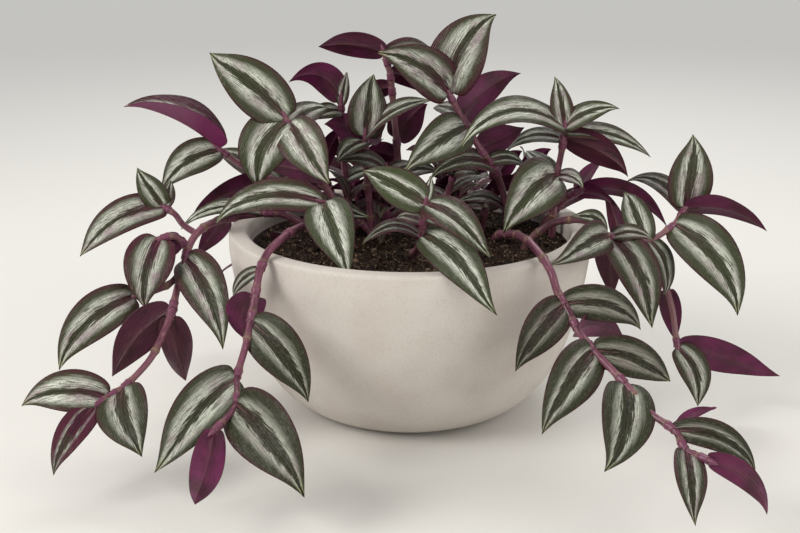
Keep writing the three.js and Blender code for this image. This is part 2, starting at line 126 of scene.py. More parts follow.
def attributes(add):
    # Place on the blade, place in millimetres, and look (pallor, purple and width of the bands)
    return [add("Attribute " + name) for name in ("blade", "grain", "look")]


# Leaf, upper side: living leaf with a thin waxy skin. Air under the skin of the two bands makes them
# silver, and the purple sap shows through towards the base and the margin.
leafFinish = {
    "olive": "#1e1d12", "oliveLight": "#3d3f29", "outerOlive": "#282a19", "paleGreen": "#515c3b",
    # The dull silver is for leaves of little pallor, and is painted shade on the leaves low in the plant
    "silver": "#a6aa9c", "silverShade": "#5d6152", "silverBright": "#dee1d5", "silverDullAndShade": "#594c46",
    # The crease colour is painted shade in the fold along the midrib
    "lilac": "#958188", "creaseShade": "#15110b",
    "maroon": "#4a1c2c", "baseMaroon": "#421729", "edge": "#3c1822", "midrib": "#8e5a64", "tip": "#8b8a52",
    "bandInner": [0.19, 0.27],  # parts of the half width where the silver comes in
    "bandOuter": [0.39, 0.67],  # and where it slowly goes out, further on some leaves
    "veinSpacing": 1.2,
    "grainSize": 0.75,  # the real skin cells are 0.05 mm, drawn coarser so that they show
    # Marks to a millimetre, across and along the leaf
    "broadStrokes": (0.55, 0.045, 1), "fineStrokes": (1.75, 0.13, 1), "flecks": (2.3, 0.55, 1),
    "quilting": (0.42, 0.22, 1), "patches": 0.09,
    "roughness": 0.36, "relief": (0.8, 0.16),  # strength, and depth in millimetres
    "shader": {"IOR": 1.42, "Specular IOR Level": 0.3, "Sheen Weight": 0.02, "Sheen Roughness": 0.4,
               "Sheen Tint": "#d8e0ea"},
}

# Leaf, underside: the same skin over purple sap, satin, with the veins faintly raised
underFinish = {
    # The tan along the midrib is a painted sheen
    "plum": "#421926", "plumDark": "#260d15", "magenta": "#702453", "midribTanSheen": "#523431",
    "edge": "#4c2c2c", "veinSpacing": 1.5, "fineStrokes": (1.2, 0.1, 1), "pebbles": (0.6, 0.3, 1),
    "patches": 0.07, "roughness": 0.46, "relief": (0.6, 0.1),
    "shader": {"IOR": 1.42, "Specular IOR Level": 0.36, "Sheen Weight": 0.04, "Sheen Roughness": 0.45,
               "Sheen Tint": "#d9a3c4"},
}

# Stem: smooth juicy skin, mauve with paler lengthwise flecks, a brown scar at each node and a papery sheath
stemFinish = {
    "mauve": "#763a58", "mauveDark": "#46202f", "pale": "#a37c78", "brown": "#805b5e", "scar": "#7f6c4e",
    "sheath": "#6c3a50", "sheathVein": "#9b7a80", "hair": "#cfc0b0",
    "fleckLength": 3.5, "fleckWidth": 0.9, "clouds": (0.35, 0.35, 0.035),  # clouds to a millimetre
    "roughness": 0.32, "relief": (0.5, 0.12),
    "shader": {"IOR": 1.42, "Specular IOR Level": 0.5},
}


def makeLeafUpper():
    f = leafFinish
    material, add = newMaterial("leafUpperWaxySilverBanded", f["shader"])
    blade, grain, look = attributes(add)
    across, along, _ = add("SeparateXYZ", blade).node.outputs
    acrossMm, alongMm, seed = add("SeparateXYZ", grain).node.outputs
    tone, purple, bandWidth = add("SeparateXYZ", look).node.outputs
    off = add("Math ABSOLUTE", across)
    offMm = add("Math ABSOLUTE", acrossMm)

    # Brush strokes run along the veins, which leave the midrib at a slant and differ from half to half
    slanted = add("Math MULTIPLY_ADD", alongMm, -0.07, offMm)
    half = add("Math GREATER_THAN", across, 0)
    half = add("Math MULTIPLY_ADD", half, 7, seed)
    strokePlace = add("CombineXYZ", slanted, alongMm, half)
    broadPlace = add("VectorMath MULTIPLY", strokePlace, f["broadStrokes"])
    streaks = add("TexNoise", Vector=broadPlace, Scale=1, Detail=4, Roughness=0.6)
    finePlace = add("VectorMath MULTIPLY", strokePlace, f["fineStrokes"])
    fine = add("TexNoise", Vector=finePlace, Scale=1, Detail=3, Roughness=0.6)
    patches = add("TexNoise", Vector=grain, Scale=f["patches"], Detail=2, Roughness=0.5)
    specks = add("TexNoise", Vector=grain, Scale=1 / f["grainSize"], Detail=1)

    # Silver band between two ragged edges, narrowing with the leaf
    ragged = add("Math MULTIPLY_ADD", streaks, 0.34, off)
    ragged = add("Math MULTIPLY_ADD", fine, 0.38, ragged)
    ragged = add("Math SUBTRACT", ragged, 0.36)
    nearer = add("Math MULTIPLY_ADD", bandWidth, 0.6, ragged)
    inner = add("ValToRGB", nearer, *zip(f["bandInner"], (0, 1)))
    further = add("Math SUBTRACT", ragged, bandWidth)
    band = add("ValToRGB", further, *zip(f["bandOuter"], (1, 0)))
    band = add("Math MULTIPLY", band, inner)
    start = add("ValToRGB", along, (0, 0.25), (0.05, 0.75), (0.16, 1))
    band = add("Math MULTIPLY", band, start)

    # Colour of the silver: lengthwise hatching, lilac patches, fine specks, and a dull silver on leaves of
    # little pallor, darkest on the leaves low in the plant as painted shade
    hatch = add("ValToRGB", fine, (0.36, 0), (0.56, 1))
    bright = add("Math MULTIPLY", tone, hatch)
    flush = add("ValToRGB", patches, (0.46, 0), (0.66, 0.8))
    flush = add("Math MULTIPLY", flush, purple)
    dullAndShade = add("Math MULTIPLY_ADD", tone, -3.2, 0.5, clamp=True)
    dots = add("ValToRGB", specks, (0.54, 0), (0.66, 0.5))
    ending = add("ValToRGB", along, (0.86, 0), (0.985, 0.65))
    silver = paint(add, f["silverShade"], (hatch, f["silver"]), (bright, f["silverBright"]),
                   (flush, f["lilac"]), (dullAndShade, f["silverDullAndShade"]), (dots, f["silverShade"]),
                   (ending, f["tip"]))

    # Colour of the green: darkest in the middle, streaked, paler on some leaves, strewn with silver flecks,
    # and flushed with purple towards the margin, most at the base
    streaky = add("ValToRGB", fine, (0.42, 0), (0.68, 0.8))
    outside = add("ValToRGB", off, (0.45, 0), (0.75, 0.6))
    paler = add("Math MULTIPLY", tone, 0.45)
    fleckPlace = add("VectorMath MULTIPLY", grain, f["flecks"])
    flecks = add("TexNoise", Vector=fleckPlace, Scale=1, Detail=2)
    strewn = add("ValToRGB", flecks, (0.56, 0), (0.7, 0.6))
    further = add("Math MULTIPLY_ADD", purple, 0.3, ragged)
    further = add("Math SUBTRACT", further, 0.22)
    rim = add("ValToRGB", further, (0.71, 0), (1, 1))
    fading = add("ValToRGB", along, (0, 1), (0.35, 0.8), (0.7, 0.45), (1, 0.2))
    rim = add("Math MULTIPLY", rim, fading)
    rim = add("Math MULTIPLY", rim, purple)
    green = paint(add, f["olive"], (streaky, f["oliveLight"]), (outside, f["outerOlive"]),
                  (paler, f["paleGreen"]), (strewn, f["silverShade"]), (rim, f["maroon"]))

    # Deep maroon where the midrib leaves the stem, painted shade in the crease along the midrib, and the
    # pink midrib on it
    middle = add("ValToRGB", ragged, (0.14, 1), (0.4, 0))
    nearBase = add("ValToRGB", along, (0.04, 1), (0.2, 0.7), (0.55, 0.1))
    heart = add("Math MULTIPLY", middle, nearBase)
    heart = add("Math MULTIPLY", heart, add("Math POWER", purple, 2))
    creaseShade = add("ValToRGB", offMm, (0.1, 0.6), (0.5, 0))
    line = add("ValToRGB", offMm, (0.15, 1), (0.4, 0))
    lineFades = add("ValToRGB", along, (0.03, 0.7), (0.16, 0.25), (0.26, 0))
    line = add("Math MULTIPLY", line, lineFades)
    border = add("ValToRGB", off, (0.91, 0), (0.97, 0.9))
    colour = paint(add, green, (band, silver), (heart, f["baseMaroon"]), (creaseShade, f["creaseShade"]),
                   (line, f["midrib"]), (border, f["edge"]))

    # Parallel veins and the fine skin stand in relief, and the silver is a little drier
    vein = add("Math MULTIPLY", acrossMm, 2 * math.pi / f["veinSpacing"])
    vein = add("Math SINE", vein)
    vein = add("Math MULTIPLY", vein, 0.5)
    relief = add("Math MULTIPLY_ADD", fine, 1.4, vein)
    relief = add("Math MULTIPLY_ADD", specks, 0.8, relief)
    quilt = add("TexNoise", Vector=add("VectorMath MULTIPLY", grain, f["quilting"]), Scale=1, Detail=2)
    relief = add("Math MULTIPLY_ADD", quilt, 7, relief)
    rough = add("Math MULTIPLY_ADD", fine, 0.16, f["roughness"] - 0.08)
    rough = add("Math MULTIPLY_ADD", band, 0.07, rough)
    dress(material, colour, rough, relief, *f["relief"])
    return material


def makeLeafUnder():
    f = underFinish
    material, add = newMaterial("leafUndersidePurpleSatin", f["shader"])
    blade, grain, look = attributes(add)
    purple = add("SeparateXYZ", look, output=1)
    off = add("Math ABSOLUTE", add("SeparateXYZ", blade))
    finePlace = add("VectorMath MULTIPLY", grain, f["fineStrokes"])
    fine = add("TexNoise", Vector=finePlace, Scale=1, Detail=3, Roughness=0.6)
    patches = add("TexNoise", Vector=grain, Scale=f["patches"], Detail=2)
    acrossMm = add("SeparateXYZ", grain)
    vein = add("Math MULTIPLY", acrossMm, 2 * math.pi / f["veinSpacing"])
    vein = add("Math SINE", vein)
    lined = add("Math MULTIPLY_ADD", vein, 0.08, fine)
    shade = add("ValToRGB", lined, (0.36, 0), (0.62, 1))
    warm = add("ValToRGB", patches, (0.35, 0.15), (0.65, 0.75))
    for _ in range(2):
        warm = add("Math MULTIPLY", warm, purple)

    # A painted sheen of olive tan along the midrib, and the margin is a thin tan line
    middle = add("ValToRGB", off, (0.02, 0.5), (0.38, 0))
    middle = add("Math MULTIPLY", middle, shade)
    border = add("ValToRGB", off, (0.94, 0), (0.985, 0.6))
    colour = paint(add, f["plumDark"], (shade, f["plum"]), (warm, f["magenta"]), (middle, f["midribTanSheen"]),
                   (border, f["edge"]))
    relief = add("Math MULTIPLY_ADD", vein, 0.35, fine)
    pebbles = add("TexNoise", Vector=add("VectorMath MULTIPLY", grain, f["pebbles"]), Scale=1, Detail=3)
    relief = add("Math MULTIPLY_ADD", pebbles, 5, relief)
    rough = add("Math MULTIPLY_ADD", fine, 0.18, f["roughness"] - 0.09)
    dress(material, colour, rough, relief, *f["relief"])
    return material


def makeStem():
    f = stemFinish
    material, add = newMaterial("stemMauveSkin", f["shader"])
    marks, grain, look = attributes(add)
    nearNode, sheath, _ = add("SeparateXYZ", marks).node.outputs
    tone, _, hair = add("SeparateXYZ", look).node.outputs
    stretched = (1 / f["fleckWidth"], 1 / f["fleckWidth"], 1 / f["fleckLength"])
    fleckPlace = add("VectorMath MULTIPLY", grain, stretched)
    flecks = add("TexNoise", Vector=fleckPlace, Scale=1, Detail=2, Roughness=0.6)
    broadPlace = add("VectorMath MULTIPLY", grain, f["clouds"])
    broad = add("TexNoise", Vector=broadPlace, Scale=1, Detail=3)
    shade = add("ValToRGB", broad, (0.32, 0), (0.62, 1))
    tan = add("Math MULTIPLY", tone, shade)
    pale = add("ValToRGB", flecks, (0.55, 0), (0.72, 0.5))
    scar = add("Math MULTIPLY", nearNode, flecks, clamp=True)
    scar = add("Math MULTIPLY", scar, 1.3, clamp=True)
    veins = paint(add, f["sheath"], (pale, f["sheathVein"]))
    colour = paint(add, f["mauveDark"], (shade, f["mauve"]), (tan, f["brown"]), (pale, f["pale"]),
                   (scar, f["scar"]), (sheath, veins), (hair, f["hair"]))
    rough = add("Math MULTIPLY_ADD", flecks, 0.2, f["roughness"] - 0.1)
    dress(material, colour, rough, flecks, *f["relief"])
    return material


leafUpper = makeLeafUpper()
leafUnder = makeLeafUnder()
stemSkin = makeStem()
print("leaf and stem materials made")

# Curves and meshes shared by the pieces


def makeDraw(seed):
    # Repeatable draw between -1 and 1
    state = seed
    while True:
        state = (state * 16807) % 2147483647
        yield state / 2147483647 * 2 - 1


def pointAt(points, place):
    # Smooth curve through the points, where place 2.5 is halfway from point 2 to point 3
    last = len(points) - 1
    index = min(max(math.floor(place), 0), last - 1)
    t = place - index
    p1 = points[index]
    p2 = points[index + 1]
    p0 = points[index - 1] if index > 0 else p1 * 2 - p2
    p3 = points[index + 2] if index + 2 <= last else p2 * 2 - p1
    startSlope = (p2 - p0) * 0.5
    endSlope = (p3 - p1) * 0.5
    return (p1 * (2 * t ** 3 - 3 * t ** 2 + 1) + startSlope * (t ** 3 - 2 * t ** 2 + t)
            + p2 * (3 * t ** 2 - 2 * t ** 3) + endSlope * (t ** 3 - t ** 2))


def newDrawing():
    return {"points": [], "faces": [], "slots": [], "blade": [], "grain": [], "look": []}


def addPoint(drawing, point, blade=(0, 0, 0), grain=(0, 0, 0), look=(0, 0, 0)):
    for key, value in (("points", point), ("blade", blade), ("grain", grain), ("look", look)):
        drawing[key].append(value)
    return len(drawing["points"]) - 1


def addFace(drawing, corners, slot=0, turned=False):
    distinct = list(dict.fromkeys(corners))
    if len(distinct) > 2:
        drawing["faces"].append(distinct[::-1] if turned else distinct)
        drawing["slots"].append(slot)


def joinRings(drawing, rings, sides, slot=0, downward=False):
    # Faces between each ring of points and the next, where a ring of one point is a pole
    for low, high in zip(rings, rings[1:]):
        for i in range(sides):
            a, b = low[i % len(low)], low[(i + 1) % len(low)]
            c, d = high[(i + 1) % len(high)], high[i % len(high)]
            addFace(drawing, [a, d, c, b] if downward else [a, b, c, d], slot)


def newObject(name, data):
    made = bpy.data.objects.new(name, data)
    bpy.context.scene.collection.objects.link(made)
    return made


def makePiece(name, drawing, materials, nodes):
    # Smooth mesh of a drawing, in metres, that stands for its CAD nodes and rides on the part's one body
    mesh = bpy.data.meshes.new(name)
    mesh.from_pydata([p * mm for p in drawing["points"]], [], drawing["faces"])
    for key in ("blade", "grain", "look"):
        layer = mesh.attributes.new(key, "FLOAT_VECTOR", "POINT")
        layer.data.foreach_set("vector", [c for value in drawing[key] for c in value])
    for material in materials:
        mesh.materials.append(material)
    mesh.polygons.foreach_set("material_index", drawing["slots"])
    mesh.polygons.foreach_set("use_smooth", [True] * len(mesh.polygons))
    mesh.update()
    piece = newObject(name, mesh)
    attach(piece, "root")
    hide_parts(*nodes)
    return piece


def addLathe(drawing, profile, segments, shift=None):
    # Closed solid of revolution from a profile of radius and height that starts and ends on the axis
    rings = []
    for k, (radius, height) in enumerate(profile):
        ring = []
        for i in range(1 if radius < 1e-6 else segments):
            angle = 2 * math.pi * i / segments
            point = Vector((radius * math.cos(angle), radius * math.sin(angle), height))
            if shift:
                point.z += shift(point, k)
            ring.append(addPoint(drawing, point, (k / len(profile), 0, 0), tuple(point)))
        rings.append(ring)
    joinRings(drawing, rings, segments)


def smoothProfile(profile, parts):
    points = [Vector((r, z, 0)) for r, z in profile]
    count = (len(points) - 1) * parts
    return [tuple(pointAt(points, i / parts))[:2] for i in range(count + 1)]


# Pot: round bowl with a thick plain rim, in the part's own radius and height
potShape = {
    "base": [(0, 0), (27, 0), (48, 0)],
    "outerWall": [
        [54, 0], [63, 2.4], [72, 7.5], [81, 15.5], [88.5, 25.5], [95, 38], [100.3, 52], [104.8, 68],
        [107.8, 85], [109.7, 99], [110, 108.5], [109.9, 111.1], [109.3, 112.2], [108.2, 112.5],
    ],
    "rimTop": [(106, 112.55), (103.8, 112.6), (101.4, 112.55)],
    "innerWall": [
        [100, 112.4], [98.8, 111.6], [98, 109.8], [97.4, 106], [97.4, 99], [93.5, 70], [84, 42],
        [66, 21], [40, 12], [0, 11],
    ],
    "insideRadius": 97.4, "segments": 192,
}

# Stoneware, cast and left unglazed: matte and dry, with a fine sandy tooth, faint clouds and dark specks
potFinish = {
    "body": "#cbc4bd", "cloud": "#c3bab2", "light": "#d2ccc5", "speck": "#978c81",
    "toothSize": 0.7,  # real grit of 0.2 mm, drawn coarser so that it shows
    "cloudSize": 34, "specks": 0.55,  # millimetres, and specks to a millimetre
    "roughness": 0.8, "relief": (0.45, 0.25), "shader": {"IOR": 1.5, "Specular IOR Level": 0.35},
}


def makeStoneware():
    f = potFinish
    material, add = newMaterial("stonewareMatteUnglazed", f["shader"])
    _, place, _ = attributes(add)
    tooth = add("TexNoise", Vector=place, Scale=1 / f["toothSize"], Detail=3)
    clouds = add("TexNoise", Vector=place, Scale=1 / f["cloudSize"], Detail=5, Roughness=0.6)
    blotches = add("TexNoise", Vector=place, Scale=4 / f["cloudSize"], Detail=4)
    strewn = add("TexNoise", Vector=place, Scale=f["specks"], Detail=2, Roughness=0.5)
    clay = add("ValToRGB", clouds, (0.36, f["cloud"]), (0.52, f["body"]), (0.7, f["light"]))
    mottle = add("ValToRGB", blotches, (0.45, 0), (0.75, 0.35))
    grit = add("ValToRGB", tooth, (0.3, 0.35), (0.46, 0))
    dots = add("ValToRGB", strewn, (0.22, 0.6), (0.26, 0))
    colour = paint(add, clay, (mottle, f["cloud"]), (grit, f["speck"]), (dots, f["speck"]))
    relief = add("Math MULTIPLY_ADD", blotches, 1.5, tooth)
    rough = add("Math MULTIPLY_ADD", tooth, 0.16, f["roughness"] - 0.08)
    dress(material, colour, rough, relief, *f["relief"])
    return material


potDrawing = newDrawing()
potProfile = potShape["base"] + smoothProfile(potShape["outerWall"], 5) + potShape["rimTop"]
addLathe(potDrawing, potProfile + smoothProfile(potShape["innerWall"], 4), potShape["segments"])
makePiece("pot_bowl", potDrawing, [makeStoneware()], ["pot"])
print("pot made")

# Soil: level fill with loose crumbs, in the bowl's own inside radius
soilShape = {
    "top": 101, "gap": 0.35, "segments": 168, "rings": 78,
    "relief": 1.3, "reliefSize": 9, "fineRelief": 0.7, "fineSize": 2.2,
    "crumbs": 700, "crumbSizes": [0.7, 2.2], "grains": 4800, "grainSizes": [0.35, 0.85],
    "fibres": 240, "fibreStretch": [3.8, 0.24, 0.22], "seed": 12,
}

# Potting soil, crumbled peat and bark: dark and fully matte, with lighter dry crumbs and bark bits
soilFinish = {
    "dark": "#0e0806", "brown": "#2f1f16", "dry": "#6e5544", "bark": "#ae947a",
    "crumbSize": 1, "dampSize": 12.5, "roughness": 0.95, "relief": (0.9, 0.8),
    "shader": {"Specular IOR Level": 0.2},
}


def makeSoil():
    f = soilFinish
    material, add = newMaterial("soilCrumbledPeat", f["shader"])
    _, place, look = attributes(add)
    tone = add("SeparateXYZ", look)
    crumbs = add("TexNoise", Vector=place, Scale=1 / f["crumbSize"], Detail=4, Roughness=0.7)
    patches = add("TexNoise", Vector=place, Scale=1 / f["dampSize"], Detail=3)
    peat = add("ValToRGB", crumbs, (0.42, f["dark"]), (0.52, f["brown"]), (0.64, f["dry"]))
    damp = add("ValToRGB", patches, (0.4, 0.6), (0.62, 0))
    colour = paint(add, peat, (damp, f["dark"]), (tone, f["bark"]))
    rough = add("Math MULTIPLY_ADD", crumbs, 0.1, f["roughness"] - 0.05)
    dress(material, colour, rough, crumbs, *f["relief"])
    return material


def soilHeight(x, y):
    broad = noise.noise(Vector((x, y, 0)) / soilShape["reliefSize"])
    fine = noise.noise(Vector((x, y, 40)) / soilShape["fineSize"])
    return soilShape["relief"] * broad + soilShape["fineRelief"] * fine


def addCrumb(drawing, centre, size, stretch, tone, draw, levels=5, sides=7):
    # Lump with a knobbly skin, flattened or drawn out
    turn = Quaternion((next(draw), next(draw), next(draw) + 0.01), 3 * next(draw))
    rings = []
    for k in range(levels + 1):
        lean = math.pi * k / levels
        ring = []
        for i in range(1 if k in (0, levels) else sides):
            angle = 2 * math.pi * i / sides
            p = Vector((math.sin(lean) * math.cos(angle), math.sin(lean) * math.sin(angle), math.cos(lean)))
            p *= 1 + 0.3 * noise.noise(p * 1.7 + centre)
            p = Vector((p.x * stretch[0], p.y * stretch[1], p.z * stretch[2])) * size
            p = centre + turn @ p
            ring.append(addPoint(drawing, p, (0, 0, 0), tuple(p), (tone, 0, 0)))
        rings.append(ring)
    joinRings(drawing, rings, sides, downward=True)


def makeSoilPiece():
    g = soilShape
    drawing = newDrawing()
    draw = makeDraw(g["seed"])
    gap, top = g["gap"], g["top"]
    edge = potShape["insideRadius"] - gap
    wall = [(max(r - gap, 0), z + gap) for r, z in potShape["innerWall"] if z < top][::-1]
    surface = [(edge * (1 - i / g["rings"]) ** 0.9, top) for i in range(g["rings"] + 1)]

    def roughen(p, k):
        return soilHeight(p.x, p.y) * min(1, (edge - p.xy.length) / 3) if k > len(wall) else 0

    addLathe(drawing, wall + surface, g["segments"], roughen)
    for i in range(g["grains"] + g["crumbs"] + g["fibres"]):
        isGrain = i < g["grains"]
        isFibre = i >= g["grains"] + g["crumbs"]
        radius = (edge - 3) * math.sqrt(abs(next(draw)))
        angle = math.pi * next(draw)
        x, y = radius * math.cos(angle), radius * math.sin(angle)
        small, large = g["grainSizes" if isGrain else "crumbSizes"]
        size = small + (large - small) * abs(next(draw)) ** 2.2
        centre = Vector((x, y, top + soilHeight(x, y) + 0.25 * size))
        # Fibres and the drier lumps are paler
        if isFibre:
            addCrumb(drawing, centre, 1, g["fibreStretch"], 0.35 + 0.3 * next(draw), draw)
        elif isGrain:
            addCrumb(drawing, centre, size, (1, 0.9, 0.8), max(0, next(draw) - 0.3) * 1.2, draw, 3, 5)
        else:
            addCrumb(drawing, centre, size, (1, 0.8, 0.65), max(0, next(draw) - 0.72) * 1.6, draw)
    makePiece("potting_soil", drawing, [makeSoil()], ["soil"])


makeSoilPiece()
print("soil made with", soilShape["crumbs"], "crumbs and", soilShape["grains"], "grains")

